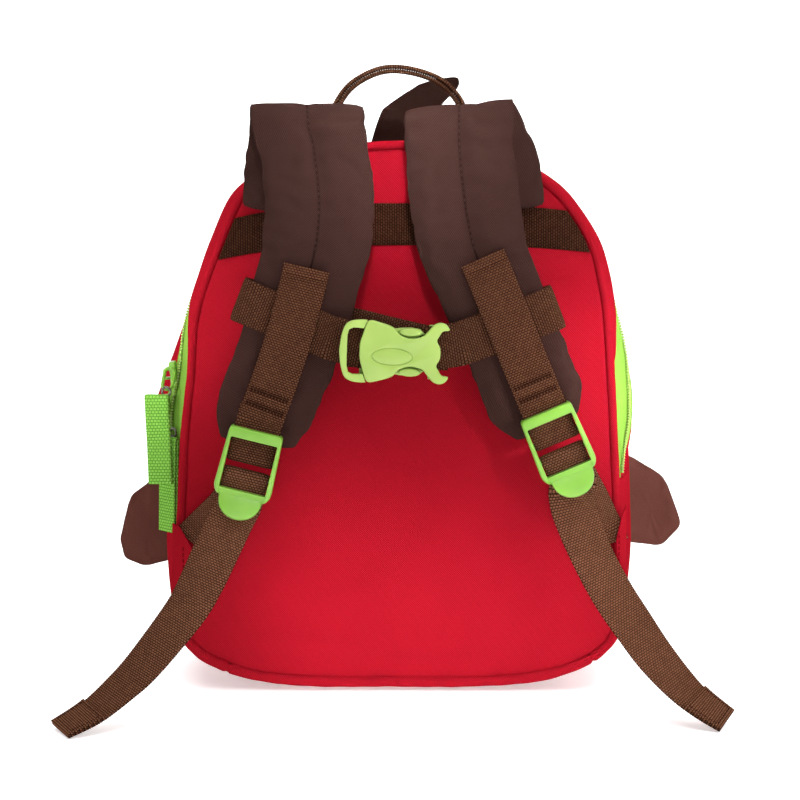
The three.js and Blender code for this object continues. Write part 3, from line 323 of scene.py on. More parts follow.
# Painted shade: the yoke is a darker copy of the brown webbing, for the shade it lies in under and between
# the padded straps.
yoke_webbing = webbing_weave("yoke_webbing", BROWN_WEBBING, (70, 43, 30), (58, 34, 23), (5, 1, 1))
lime_webbing = webbing_weave(
    "lime_webbing", LIME_CLOTH, (140, 199, 86), (132, 192, 78), (78, 136, 38), across=1.9, along=1.6
)
buckle_plastic = moulded_plastic("buckle_plastic", (144, 172, 80), (156, 183, 90))
lock_plastic = moulded_plastic("lock_plastic", (104, 155, 41), (116, 165, 49))
ring_metal = plated_metal("ring_metal", (112, 106, 100))
brown_thread = sewing_thread("brown_thread", BROWN_WEBBING, (22, 9, 5), (50, 27, 18))
groove_thread = sewing_thread("groove_thread", BROWN_PADDING, (30, 18, 15), (66, 45, 40))
red_thread = sewing_thread("red_thread", RED, (74, 2, 8), (110, 8, 16))

# Working on one shape at a time


def pick(piece):
    """Make a piece the only selected one."""
    bpy.ops.object.select_all(action="DESELECT")
    piece.select_set(True)
    bpy.context.view_layer.objects.active = piece


def add_shape(add, **settings):
    """A new basic shape, the only selected one, with its size, place and turn applied."""
    bpy.ops.object.select_all(action="DESELECT")
    add(**settings)
    bpy.ops.object.transform_apply(location=True, rotation=True, scale=True)
    return bpy.context.object


def edit(piece):
    """Start on a piece's mesh with all of it selected."""
    pick(piece)
    bpy.ops.object.mode_set(mode="EDIT")
    bpy.ops.mesh.select_all(action="SELECT")


def done():
    bpy.ops.object.mode_set(mode="OBJECT")


def apply_modifiers(piece):
    pick(piece)
    for modifier in list(piece.modifiers):
        bpy.ops.object.modifier_apply(modifier=modifier.name)


def taken_apart(piece):
    """A shape's points and faces; the shape itself goes."""
    points = np.array([vertex.co for vertex in piece.data.vertices])
    faces = [tuple(face.vertices) for face in piece.data.polygons]
    bpy.data.objects.remove(piece, do_unlink=True)
    return points, faces


def dress(piece, finish, node=None):
    """Finish of a piece, the body that it moves with and the solid that it stands for."""
    piece.data.materials.clear()
    piece.data.materials.append(finish.material)
    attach(piece, "root")
    if node:
        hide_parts(node)
    return piece


# Floor and backdrop

FLOOR_SIZE = 24.0
BACKDROP_Y = 2.2
UPRIGHT = (math.pi / 2, 0, 0)


def lit_stage(shape, name, finish, glow):
    """A part of the stage that glows, so that it shows white."""
    shape.name = name
    finish.look({"Emission Color": WHITE, "Emission Strength": glow})
    shape.data.materials.append(finish.material)


floor_finish = Finish("pale_floor", slot=None, roughness=0.7)
floor_dust = floor_finish.noise(floor_finish.in_space(), scale=3.0)
floor_finish.look({"Base Color": floor_finish.ramp(floor_dust, grey(0.95), grey(0.97))})
floor = add_shape(bpy.ops.mesh.primitive_grid_add, x_subdivisions=4, y_subdivisions=4, size=FLOOR_SIZE)
lit_stage(floor, "studio_floor", floor_finish, glow=0.42)
backdrop_place = (0, BACKDROP_Y, 0)
backdrop = add_shape(
    bpy.ops.mesh.primitive_plane_add, size=FLOOR_SIZE, location=backdrop_place, rotation=UPRIGHT
)
backdrop_finish = Finish("lit_backdrop", slot=None, roughness=1.0)
lit_stage(backdrop, "lit_backdrop", backdrop_finish, glow=1.05)

# Sizes in millimetres

GAP = 0.3
WEBBING_WIDTH = 24
WEBBING_THICK = 1.6
CLOTH_THICK = 2
PANEL_THICK = 3
BACK_SEAM_Y = -48
FRONT_SEAM_Y = 40
BACK_CROWN = 6
FRONT_CROWN = 14
CROWN_CENTRE_Z = 142
CROWN_POWER = 2.2
ZIP_END_Z = 114
ZIP_BACK_Y = -20
ZIP_FRONT_Y = 2
ZIP_COIL_Y = -8
ZIP_TAPE_THICK = 1.2
YOKE_HEIGHT = 22
YOKE_Z = 253
YOKE_HALF = 100
YOKE_DIP_POWER = 3
HANDLE_WIDTH = 20
HANDLE_Y = -35
PULL_WIDTH = 13
PULL_THICK = 1.4
TRIM_THICK = 5
TRIM_Y = 38
TAB_ROOT_Y = -51
TAB_TIP_Y = -54.6
TAB_THICK = 2
LOW_SIDE_Z = 167
HIGH_SIDE_Z = 237
FOOT_SHARE = 0.62
FOOT_LOW_Z = 8
FOOT_HIGH_Z = 78

# Columns: x, z, up the right half of the seam
SEAM_ROWS = (
    (0, 3), (40, 3), (72, 5.4), (93, 11), (108, 19.5), (116, 33), (117, 62), (115, 102), (112.8, 142),
    (110, 187), (107, 216), (101, 240), (90, 259), (78, 272), (58, 283.5), (32, 290.5), (0, 292.5),
)
# Columns: y, and how far the gusset stands out low at the side, high at the side, at the top and at the base
GUSSET_ROWS = (
    (-45, 0.6, 0.6, 0.6, 2.2),
    (-36, 4, 6.2, 3.4, 3),
    (-27, 6.4, 8.6, 3.8, 3),
    (-20, 8.2, 7.8, 2.6, 3),
    (2, 13.4, 5.8, -1.5, 3),
    (20, 14.6, 5.2, -5.5, 3),
    (37, 11, 2, -11, 2.2),
)
# Columns: x, y, z, wide, thick, lean
STRAP_ROWS = {
    "left": (
        (-55.2, -58.6, 257.6, 54, 4.6, -3),
        (-54, -59, 266, 55.5, 7, -4),
        (-52.5, -59.6, 278, 57, 8, -6),
        (-50.5, -61.5, 292, 57, 9, -5),
        (-49, -62, 303, 57, 9, -3),
        (-48.2, -64.6, 309.4, 57, 9, -2),
        (-47.6, -71, 312, 57, 9, 0),
        (-47, -77.4, 309.4, 57, 9, 2),
        (-46, -80, 302, 56.5, 9.5, 6),
        (-43.6, -81, 291, 56, 9.5, 7),
        (-41.2, -81.5, 267, 56, 9.5, 2),
        (-43, -81, 243.5, 55.5, 9.5, -8),
        (-47.8, -80, 224, 54, 9.5, -13),
        (-51.6, -79.2, 210, 53.5, 9.5, -15),
        (-57.8, -77.5, 189, 52, 9.5, -18),
        (-67.4, -74.5, 165, 51, 9, -18),
        (-70.4, -73.2, 157, 50, 8, -17),
        (-72.8, -72.2, 149, 47, 6.4, -15),
        (-74.6, -71.8, 138, 39, 4.4, -11),
    ),
    "right": (
        (49.2, -58.6, 259, 54, 4.6, 4),
        (48, -59, 268, 55.5, 7, 7),
        (45.2, -59.6, 280, 57, 8, 13),
        (40, -61.5, 292, 57, 9, 12),
        (35, -62, 303, 56, 9, 6),
        (32.6, -64.6, 309.4, 55, 9, 5),
        (31.4, -71, 312, 55, 9, 5),
        (31, -77.4, 309.4, 55, 9, 4.5),
        (30.9, -80, 302, 55.5, 9.5, 3.5),
        (31.2, -81, 291, 55.5, 9.5, 3),
        (33.8, -81.5, 267, 56, 9.5, 8),
        (38.4, -81, 243.5, 55, 9.5, 14),
        (45.6, -80, 224, 52.5, 9.5, 20),
        (52.8, -79.2, 207, 51, 9.5, 22),
        (60.5, -77.5, 189, 50.5, 9.5, 22),
        (68, -74.8, 170, 51, 9, 22.5),
        (73, -73.2, 159, 49, 7.2, 25),
        (78.6, -72.2, 146.6, 34, 4.4, 27),
    ),
}
# Columns: x, y, z, lean
STRAP_WEBBING_ROWS = {
    "left": (
        (-47.4, -86.4, 232.5, -15),
        (-49.4, -87.2, 224, -15),
        (-51.8, -88.3, 215, -16),
        (-55, -88.1, 203, -17),
        (-58.6, -86.9, 191, -18),
        (-63, -84.8, 178, -18),
        (-68, -83.5, 164, -16),
    ),
    "right": (
        (42.9, -86.4, 237.5, 23),
        (46.6, -87.2, 229, 23),
        (50.4, -88.3, 219.5, 23),
        (55, -88.3, 208, 23),
        (60, -87.6, 196, 23),
        (65, -85.9, 183.5, 23),
        (70, -83.9, 171.5, 23),
    ),
}
# Columns: x, y, z, lean, turn
TAIL_ROWS = {
    "left": (
        (-88.2, -84, 99.8, -21, 3),
        (-96, -90, 83.4, -26, 10),
        (-102.6, -95.4, 69.4, -28, 20),
        (-110.9, -101.5, 55, -29, 30),
        (-131.2, -115, 30.2, -28, 43),
        (-143.6, -123, 18.7, -25, 51),
        (-156.6, -130.5, 8.9, -17, 55),
        (-171.2, -138, 1.8, -3, 54),
    ),
    "right": (
        (90, -82, 114.4, 21, -4),
        (91.8, -84.4, 104, 20, -15),
        (100.2, -90.5, 83.4, 22, -25),
        (110.3, -97, 64.6, 26, -27),
        (120.4, -103.5, 49.6, 29, -31),
        (131.6, -110, 34, 31, -38),
        (144.2, -116.5, 20, 29, -48),
        (154, -121, 11.6, 22, -54),
        (167.2, -125.5, 3, 3, -52),
    ),
}
# Columns: x, y, z, lean
ANCHOR_ROWS = {
    "left": (
        (-110.5, -51.8, 81.5, -42),
        (-105.5, -53.4, 87, -42),
        (-98, -60, 95, -38),
        (-90, -70, 104, -28),
    ),
    "right": (
        (111.6, -51.6, 81, 33),
        (109.6, -52, 87, 34),
        (106.5, -53.4, 92.5, 36),
        (102.5, -60, 101, 32),
        (97.5, -70, 111, 27),
    ),
}
# Columns: x, y, z, lean
CHEST_FRONT_ROWS = {
    "left": (
        (-36, -88, 196.2, 16.5),
        (-43, -86, 199.2, 18),
        (-52, -85.4, 203.2, 20),
        (-65, -85.5, 208.6, 21),
    ),
    "right": (
        (32, -88.2, 193.2, 17),
        (39, -86.2, 195.6, 18),
        (51, -85.5, 199.9, 21),
        (63, -85.5, 204.4, 22),
    ),
}
# Columns: x, y, z, lean
CHEST_BACK_ROWS = {
    "left": (
        (-65, -73, 209, 21),
        (-50, -72.1, 203, 21),
        (-36, -71.8, 200.6, 20),
        (-24, -75, 199, 17),
        (-12, -79.4, 196.6, 15),
        (2, -81.2, 193.4, 14),
        (14, -81.2, 190.6, 14),
    ),
    "right": ((63, -72.4, 204.4, 22), (52, -71.9, 200, 22), (42, -71.7, 196, 22)),
}
# Columns: x, half height
SOCKET_HALF_ROWS = (
    (-17.8, 0), (-17.6, 4), (-16.2, 9), (-13.4, 15.7), (-7, 14.9), (-0.6, 12.6), (2.2, 9.4), (6, 7.6),
    (10, 7.3), (14.6, 8.6), (17, 11), (20.2, 14.6), (23.4, 15.8), (26.4, 15), (28.2, 12.2), (24.8, 11.4),
    (23.2, 9), (22, 6.4), (23.6, 3), (24, 0),
)
FRAME_OUTSIDE_ROWS = ((-28.2, 0), (-27.4, 7), (-25.4, 13.2), (-22, 15.5), (-17.4, 16.2), (-14.2, 16.1))
FRAME_INSIDE_ROWS = ((-15.8, 11.8), (-23.4, 11), (-24.2, 0))
ARM_ROWS = (
    (-18.4, 12.3), (-12.4, 12.1), (-9, 8.2), (9, 6.6), (15.6, 9.6), (13.2, 11.7), (8.7, 12.5), (3, 12.2),
    (0, 11.6), (-3, 12), (-9.4, 13.6), (-13.9, 15), (-18.4, 15),
)
# Columns: x, z
HANDLE_ROWS = (
    (-36, 294.3), (-35.4, 307), (-32.6, 316), (-25.6, 325.4), (-14.6, 332), (-3.6, 334.4), (9.8, 332.6),
    (21.6, 328), (28.4, 322), (32.6, 316), (35.4, 307), (36, 294.3),
)
TUFT_ROWS = (
    (-17, 284.7), (-15.6, 295), (-10.7, 309.8), (-6.2, 315.3), (6.1, 323.6), (15, 328.1), (30.6, 331),
    (33.8, 328.4), (32, 323.6), (24.5, 316), (18.5, 306), (16, 295), (16, 284.7),
)
LEFT_FLAP_ROWS = (
    (-127, 107), (-141.3, 102.3), (-154.7, 92.4), (-160.8, 67.3), (-158.1, 56.1), (-146.6, 51.6), (-128, 56),
)
RIGHT_FLAP_ROWS = ((127.4, 119), (152.6, 103.4), (162.8, 76), (151.2, 63.4), (127, 66))
TAB_ROWS = {
    "left": ((-121.6, 93), (-117.4, 91), (-110.6, 79), (-113.4, 66), (-119.6, 49), (-122.4, 53)),
    "right": ((121.6, 103), (119.4, 98), (116.2, 84), (117.2, 70), (120.8, 56), (122.6, 62)),
}

# Curves, waves and meshes


def smooth_rows(rows, steps):
    """Rows along a smooth curve through the given rows."""
    rows = np.asarray(rows, float)
    last = len(rows) - 1
    result = []
    for i in range(last):
        first = rows[i]
        second = rows[i + 1]
        rise = second - first
        leave = (second - rows[max(i - 1, 0)]) / 2
        arrive = (rows[min(i + 2, last)] - first) / 2
        for step in range(steps):
            t = step / steps
            bend = 3 * rise - 2 * leave - arrive + t * (leave + arrive - 2 * rise)
            result.append(first + t * (leave + t * bend))
    result.append(rows[last])
    return np.array(result)


def smoothstep(value, low, high):
    share = np.clip((value - low) / (high - low), 0, 1)
    return share * share * (3 - 2 * share)


def hump(distance, spread):
    """A rounded rise of height 1 that dies away with distance."""
    return np.exp(-((distance / spread) ** 2))


def ripples(run, rows):
    """Waves along a run; each row holds a size, a length and a start."""
    return sum(size * np.sin(run / length + start) for size, length, start in rows)


def unit(vectors):
    return vectors / np.linalg.norm(vectors, axis=-1, keepdims=True)


def square_to(vectors, along):
    """Directions made square to others."""
    return unit(vectors - along * np.sum(vectors * along, axis=-1, keepdims=True))


def run_of(points):
    """Distance along a row of points."""
    return np.concatenate([[0], np.cumsum(np.linalg.norm(np.diff(points, axis=0), axis=1))])


def evenly(rows, gap):
    """Rows spaced evenly along the path of their first three columns."""
    rows = np.asarray(rows, float)
    run = run_of(rows[:, :3])
    marks = np.linspace(0, run[-1], max(2, int(round(run[-1] / gap)) + 1))
    return marks, np.stack([np.interp(marks, run, column) for column in rows.T], axis=1)


def path_frames(rows, gap, rounding=4):
    """Even stations on a strip, corners eased, with directions along it, across it and out of its face."""
    marks, even = evenly(rows, gap)
    for _ in range(rounding):
        even[1:-1] = (even[:-2] + 2 * even[1:-1] + even[2:]) / 4
    place = even[:, :3]
    along = unit(np.gradient(place, axis=0))
    across = square_to(even[:, 3:6], along)
    return {"run": marks, "place": place, "across": across, "out": np.cross(along, across)}


def width_direction(lean, turn=0.0):
    """Direction across a strip that leans in the picture plane and turns about the upright."""
    lean, turn = np.broadcast_arrays(np.radians(lean), np.radians(turn))
    return np.stack([np.cos(lean) * np.cos(turn), -np.sin(turn), np.sin(lean) * np.cos(turn)], axis=-1)


def loft_faces(rows, count, loop=False):
    """Faces over rows of closed sections of the same count, with ends unless the rows close in a loop."""
    faces = []
    for r in range(rows if loop else rows - 1):
        here = r * count
        after = ((r + 1) % rows) * count
        for i in range(count):
            j = (i + 1) % count
            faces.append((here + i, here + j, after + j, after + i))
    if not loop:
        faces.append(tuple(range(count - 1, -1, -1)))
        faces.append(tuple((rows - 1) * count + i for i in range(count)))
    return faces


STRIP_COLUMNS = 15
STRIP_EDGE_POWER = 10
STRIP_EDGE_LOSS = 0.55
STRIP_TOOTH = 0.16
STRIP_RIB = 0.07


def every_other(count):
    return np.where(np.arange(count) % 2 == 0, 1.0, -1.0)


def strip(frames, width, thick):
    """Flat webbing with rounded, toothed edges and a rib on every row of the weave."""
    share = np.linspace(-1, 1, STRIP_COLUMNS)
    edge = np.abs(share) ** STRIP_EDGE_POWER
    count = len(frames["run"])
    swing = every_other(count)[:, None]
    rise = thick / 2 * (1 - STRIP_EDGE_LOSS * edge) + STRIP_RIB * swing * (1 - edge)
    side = share * (width / 2 + STRIP_TOOTH * swing)
    middle = frames["place"][:, None, :] + frames["across"][:, None, :] * side[..., None]
    lift = frames["out"][:, None, :] * rise[..., None]
    points = np.concatenate([middle + lift, (middle - lift)[:, ::-1]], axis=1)
    u = np.concatenate([side, side[:, ::-1]], axis=1)
    cloth = np.stack(np.broadcast_arrays(u, frames["run"][:, None]), axis=-1)
    return points.reshape(-1, 3), loft_faces(count, 2 * STRIP_COLUMNS), cloth.reshape(-1, 2)


def wall(outer, inner, cloth):
    """Closed cloth wall between two grids of points; cloth holds each grid point's place on the cloth."""
    rows, columns = outer.shape[:2]
    under = rows * columns
    number = np.arange(under).reshape(rows, columns)
    faces = []
    for i in range(rows - 1):
        for j in range(columns - 1):
            quad = (number[i, j], number[i + 1, j], number[i + 1, j + 1], number[i, j + 1])
            faces.append(quad)
            faces.append(tuple(under + k for k in reversed(quad)))
    rim = np.concatenate([number[0], number[1:, -1], number[-1, -2::-1], number[-2:0:-1, 0]])
    for a, b in zip(rim, np.roll(rim, -1)):
        faces.append((a, b, under + b, under + a))
    points = np.concatenate([outer.reshape(-1, 3), inner.reshape(-1, 3)])
    return points, faces, np.tile(cloth.reshape(-1, 2), (2, 1))


def dish(front, back):
    """Solid between two faces, each an array of rings of points that grow from the middle to the edge."""
    rings, count = front.shape[:2]
    per_face = rings * count + 1
    points = []
    faces = []
    for start, face, step in ((0, front, 1), (per_face, back, -1)):
        points += [face[0].mean(axis=0)[None, :], face.reshape(-1, 3)]
        ring = start + 1 + np.arange(rings * count).reshape(rings, count)
        for i in range(count):
            j = (i + 1) % count
            faces.append((start, ring[0, i], ring[0, j])[::step])
            for k in range(rings - 1):
                faces.append((ring[k, i], ring[k + 1, i], ring[k + 1, j], ring[k, j])[::step])
    edge = 1 + (rings - 1) * count
    for i in range(count):
        j = (i + 1) % count
        faces.append((edge + i, per_face + edge + i, per_face + edge + j, edge + j))
    points = np.concatenate(points)
    return points, faces, points[:, ::2]


def make_piece(name, parts, finish, node=None):
    """One object from parts, which are points in millimetres, faces, and places on the cloth."""
    faces = []
    start = 0
    for points, part_faces, _ in parts:
        faces += [tuple(start + int(k) for k in face) for face in part_faces]
        start += len(points)
    mesh = bpy.data.meshes.new(name)
    mesh.from_pydata((np.concatenate([part[0] for part in parts]) * MM).tolist(), [], faces)
    cloth = np.concatenate([part[2] for part in parts])
    corners = np.empty(len(mesh.loops), int)
    mesh.loops.foreach_get("vertex_index", corners)
    layer = mesh.uv_layers.new(name=CLOTH_MAP)
    layer.data.foreach_set("uv", cloth[corners].astype(np.float32).ravel())
    shape = bmesh.new()
    shape.from_mesh(mesh)
    bmesh.ops.recalc_face_normals(shape, faces=shape.faces)
    shape.to_mesh(mesh)
    shape.free()
    mesh.polygons.foreach_set("use_smooth", np.ones(len(mesh.polygons), bool))
    piece = bpy.data.objects.new(name, mesh)
    scene.collection.objects.link(piece)
    return dress(piece, finish, node)


# Stitches

STITCH_SIDES = 6
STITCH_CUTS = 2
STITCH_DIP = 0.75
STITCH_SUNK = 0.4


def model_stitch():
    """One short stitch, a round thread that dips at both ends, as points and faces one unit long."""
    thread = add_shape(
        bpy.ops.mesh.primitive_cylinder_add,
        vertices=STITCH_SIDES,
        radius=0.5,
        depth=1.0,
        rotation=(0, math.pi / 2, 0),
    )
    edit(thread)
    bpy.ops.mesh.subdivide(number_cuts=STITCH_CUTS)
    done()
    points, faces = taken_apart(thread)
    arch = 1 - (2 * np.abs(points[:, 0])) ** 2 * STITCH_DIP
    points[:, 2] = points[:, 2] * (0.5 + 0.5 * arch) + 0.5 * arch - STITCH_SUNK
    return points, faces


STITCH_POINTS, STITCH_FACES = model_stitch()


def placed(points, place, along, side, up):
    """A small shape's points, turned to three directions and moved to a place."""
    return place + points[:, :1] * along + points[:, 1:2] * side + points[:, 2:3] * up


def stitch_line(path, outward, pitch, length, thick):
    """Stitches along a path that lies on a face, each set on the face's outward direction."""
    rows = np.concatenate([path, outward], axis=1)
    run = run_of(path)[-1]
    count = max(2, int(round(run / pitch)))
    even = evenly(rows, run / (4 * count))[1]
    last = len(even) - 1
    parts = []
    for k in range(0, 4 * count, 4):
        middle = even[min(k + 2, last)]
        along = unit(even[min(k + 3, last), :3] - even[k + 1, :3])
        up = square_to(middle[3:6], along)
        local = STITCH_POINTS * (length, thick, thick)
        points = placed(local, middle[:3], along, np.cross(up, along), up)
        parts.append((points, STITCH_FACES, points[:, ::2]))
    return parts


def at_run(frames, run):
    """Place, direction across and direction out on a strip, at one or more runs along it."""
    result = []
    for key in ("place", "across", "out"):
        columns = [np.interp(run, frames["run"], column) for column in frames[key].T]
        result.append(np.stack(columns, axis=-1))
    return result


def on_strip(frames, side, start, end, lift):
    """A path on a strip's face, some way across it, between two runs along it."""
    place, across, out = at_run(frames, np.linspace(start, end, max(2, int(abs(end - start)) + 1)))
    return place + across * side + out * lift, out


ACROSS_STEPS = 12


def across_strip(frames, run, width, lift):
    """A path straight across a strip's face."""
    place, across, out = at_run(frames, run)
    sides = np.linspace(-width / 2, width / 2, ACROSS_STEPS)[:, None]
    return place + sides * across + lift * out, np.tile(out, (ACROSS_STEPS, 1))


# Body outline

SEAM_STEPS = 60
half_seam = smooth_rows(SEAM_ROWS, SEAM_STEPS)
half_run = run_of(half_seam)
half_tangent = unit(np.gradient(half_seam, axis=0))
half_tangent[0] = (1, 0)
half_tangent[-1] = (-1, 0)
SEAM_LENGTH = 2 * half_run[-1]
BASE_SHARE = 0.2
# Columns: depth, z, half height above, half height below
LEFT_DENTS = ((7.0, 241, 24, 32), (1.8, 175, 22, 22))


def left_squash(z):
    """How far the bag's left side is pressed in at a height, and how fast that changes."""
    press = np.zeros_like(z)
    change = np.zeros_like(z)
    for depth, middle, above, below in LEFT_DENTS:
        spread = np.where(z > middle, above, below)
        dent = depth * hump(z - middle, spread)
        press = press + dent
        change = change - 2 * (z - middle) / spread**2 * dent
    return press, change


def seam_at(share):
    """Seam point and outward direction; share 0 is the base middle, and 0.5 the top, up the right side."""
    wrapped = share - np.floor(share)
    right = wrapped <= 0.5
    along = np.where(right, wrapped, 1 - wrapped) * SEAM_LENGTH
    side = np.where(right, 1, -1)
    x = side * np.interp(along, half_run, half_seam[:, 0])
    z = np.interp(along, half_run, half_seam[:, 1])
    out_x = side * np.interp(along, half_run, half_tangent[:, 1])
    out_z = -np.interp(along, half_run, half_tangent[:, 0])
    press, change = left_squash(z)
    x = np.where(right, x, x + press)
    out_z = np.where(right, out_z, out_z - change * out_x)
    size = np.hypot(out_x, out_z)
    return x, z, out_x / size, out_z / size


def share_at_height(height):
    """Share of the seam, on the right side, at a height above the base."""
    rising = half_run > BASE_SHARE * half_run[-1]
    return np.interp(height, half_seam[rising, 1], half_run[rising]) / SEAM_LENGTH


def seam_shares(start, end, gap):
    return np.linspace(start, end, int(round((end - start) * SEAM_LENGTH / gap)) + 1)


# Gusset

GUSSET_STEPS = 20
BAND_STEP = 2.4
BAND_ROW_STEP = 2.2
BAND_LEAST_ROWS = 5
# Each: size, z, y, half height, half depth
RIGHT_BULGE = (7.8, 156, -22, 40, 14)
LEFT_BULGE = (12, 146, -5, 32, 26)
# Columns: size, length, start
BAND_WAVES = ((1, 5.3, 0), (1, 8.9, 1.3), (0.7, 3.1, 0.4))
BAND_WAVE_DEPTH = 0.16
BAND_WAVE_REACH = 5.0
# Columns: length along the seam, length across the band
SLACK_WAVES = ((37, 15), (23, -11))
SLACK_DEPTH = 0.45
SLACK_MARGIN = 8
EDGE_ROLL = 0.7
EDGE_ROLL_REACH = 1.2
HIGHEST_GATHER = 0.5
gusset_rows = np.array(GUSSET_ROWS, float)
gusset_fine = smooth_rows(GUSSET_ROWS, GUSSET_STEPS)
gusset_steps = np.arange(len(gusset_fine)) / GUSSET_STEPS
gusset_depth = np.interp(gusset_steps, np.arange(len(gusset_rows)), gusset_rows[:, 0])
GUSSET_BACK_Y = GUSSET_ROWS[0][0]
GUSSET_FRONT_Y = GUSSET_ROWS[-1][0]
GUSSET_FRONT_DROP = GUSSET_ROWS[-1][4]


def bulge(z, depth, row):
    size, middle_z, middle_y, half_height, half_depth = row
    return size * np.exp(-(((z - middle_z) / half_height) ** 2) - ((depth - middle_y) / half_depth) ** 2)


def gusset_point(share, depth, under=0.0):
    """Points on the outside of the gusset, or under it by some depth of cloth; the base lies flat."""
    x, z, out_x, out_z = seam_at(share)
    low, high, lift, drop = (np.interp(depth, gusset_depth, column) for column in gusset_fine.T[1:])
    mix = smoothstep(z, LOW_SIDE_Z, HIGH_SIDE_Z)
    foot = FOOT_SHARE + (1 - FOOT_SHARE) * smoothstep(z, FOOT_LOW_Z, FOOT_HIGH_Z)
    right = share - np.floor(share) < 0.5
    fullness = np.where(right, bulge(z, depth, RIGHT_BULGE), bulge(z, depth, LEFT_BULGE))
    side = foot * (low + (high - low) * mix) + fullness - under
    rise = np.where(out_z > 0, lift, drop) - under
    height = np.maximum(z + out_z * rise, np.maximum(under, 0))
    return np.stack(np.broadcast_arrays(x + out_x * side, depth, height), axis=-1)


def near_edges(depth, near, far, reach):
    """A share that is 1 at the two sewn edges of a band and dies away between them."""
    return np.exp(-(depth - near) / reach) + np.exp(-(far - depth) / reach)


def pucker(share, depth, near, far):
    """Small gathers that run in from the sewn edges of a band, and slack cloth between them."""
    run = share * SEAM_LENGTH
    gathers = near_edges(depth, near, far, BAND_WAVE_REACH) * ripples(run, BAND_WAVES)
    slack = sum(np.sin(run / along + depth / across) for along, across in SLACK_WAVES)
    middle = np.clip((depth - near) / SLACK_MARGIN, 0, 1) * np.clip((far - depth) / SLACK_MARGIN, 0, 1)
    return BAND_WAVE_DEPTH * gathers + SLACK_DEPTH * middle * slack


def gusset_band(start, end, near_at, far_at, thick=CLOTH_THICK, looseness=1.0):
    """Cloth band along the seam between two edges, each a depth at every share of the seam."""
    shares = seam_shares(start, end, BAND_STEP)[None, :]
    near = near_at(shares)
    far = far_at(shares)
    rows = max(BAND_LEAST_ROWS, int(round(np.max(far - near) / BAND_ROW_STEP)) + 1)
    depths = near + (far - near) * np.linspace(0, 1, rows)[:, None]
    rise = np.minimum(looseness * pucker(shares, depths, near, far), HIGHEST_GATHER)
    top = gusset_point(shares, depths, EDGE_ROLL * near_edges(depths, near, far, EDGE_ROLL_REACH) - rise)
    cloth = np.stack(np.broadcast_arrays(shares * SEAM_LENGTH, depths), axis=-1)
    return wall(top, gusset_point(shares, depths, thick), cloth)


def back_edge(shares):
    return np.full_like(shares, GUSSET_BACK_Y)


def front_edge(shares):
    return np.full_like(shares, GUSSET_FRONT_Y)


# Zip opening

ZIP_TAPER = 34
ZIP_SWING = 20
ZIP_SWING_Z = 160
ZIP_SWING_HEIGHT = 40
ZIP_END_SWING = 5
ZIP_END_OPENNESS = 0.12
zip_share = share_at_height(ZIP_END_Z)
gap_share = GAP / SEAM_LENGTH
upper_run = (zip_share + gap_share, 1 - zip_share - gap_share)


def coil_depth(shares):
    """The zip swings towards the back panel on its way down each side."""
    z = seam_at(shares)[1]
    end_swing = ZIP_END_SWING * smoothstep(-z, -ZIP_SWING_Z, -ZIP_END_Z)
    return ZIP_COIL_Y - ZIP_SWING * hump(np.maximum(z - ZIP_SWING_Z, 0), ZIP_SWING_HEIGHT) - end_swing


def zip_edge(open_depth, clearance):
    """Edge of the zip opening, which closes on the coil at both ends of the zip."""

    def depth(shares):
        to_end = np.minimum(shares - zip_share, 1 - zip_share - shares) * SEAM_LENGTH
        openness = ZIP_END_OPENNESS + (1 - ZIP_END_OPENNESS) * smoothstep(to_end, 0, ZIP_TAPER)
        return coil_depth(shares) + (open_depth - ZIP_COIL_Y) * openness + clearance

    return depth


# Seam cord and panels

CORD_STEP = 0.9
CORD_SIDES = 14
CORD_RADIUS = 2.4
CORD_REACH = 2.2
CORD_SHIFT = 2.0
BASE_CORD_SHIFT = 1.9
BASE_CORD_SWELL = 0.28
# Columns: size, waves round the bag, start
CORD_WAVES = ((0.02, 38, 0), (0.02, 67, 1), (0.03, 15, 0))
NOTCH_DEPTH = 0.36
NOTCH_HALF = 0.9
LEFT_NOTCH = 0.897
RIGHT_NOTCH = 0.117
PANEL_STEP = 2.4
SEAM_SAMPLES = 800
# Columns: size, length, start
PANEL_WAVES = ((1, 4.7, 0), (1, 7.9, 2), (0.6, 2.9, 0))
PANEL_WAVE_DEPTH = 0.16
PANEL_WAVE_REACH = 6.0
PANEL_ROLL = 0.7
PANEL_ROLL_REACH = 0.9
RELIEF_MARGIN = 14
# Rings from the middle to the edge, closer together near the edge
PANEL_RINGS = np.concatenate([np.linspace(0.02, 0.9, 40), np.linspace(0.91, 1, 16)])[:, None]


def seam_shift(out_z):
    """The sewn edge rolls outward, and inward along the base."""
    base = np.clip(-out_z, 0, 1)
    return CORD_SHIFT * (1 - base) - BASE_CORD_SHIFT * base


def cord_swell(out_z):
    """The cord is fuller along the base."""
    return 1 + BASE_CORD_SWELL * np.clip(-out_z, 0, 1)


def back_seam(share):
    return seam_at(share)[:2]


def front_seam(share):
    point = gusset_point(share, GUSSET_FRONT_Y)
    out_z = seam_at(share)[3]
    return point[..., 0], point[..., 2] + np.where(out_z < 0, -out_z * GUSSET_FRONT_DROP, 0)


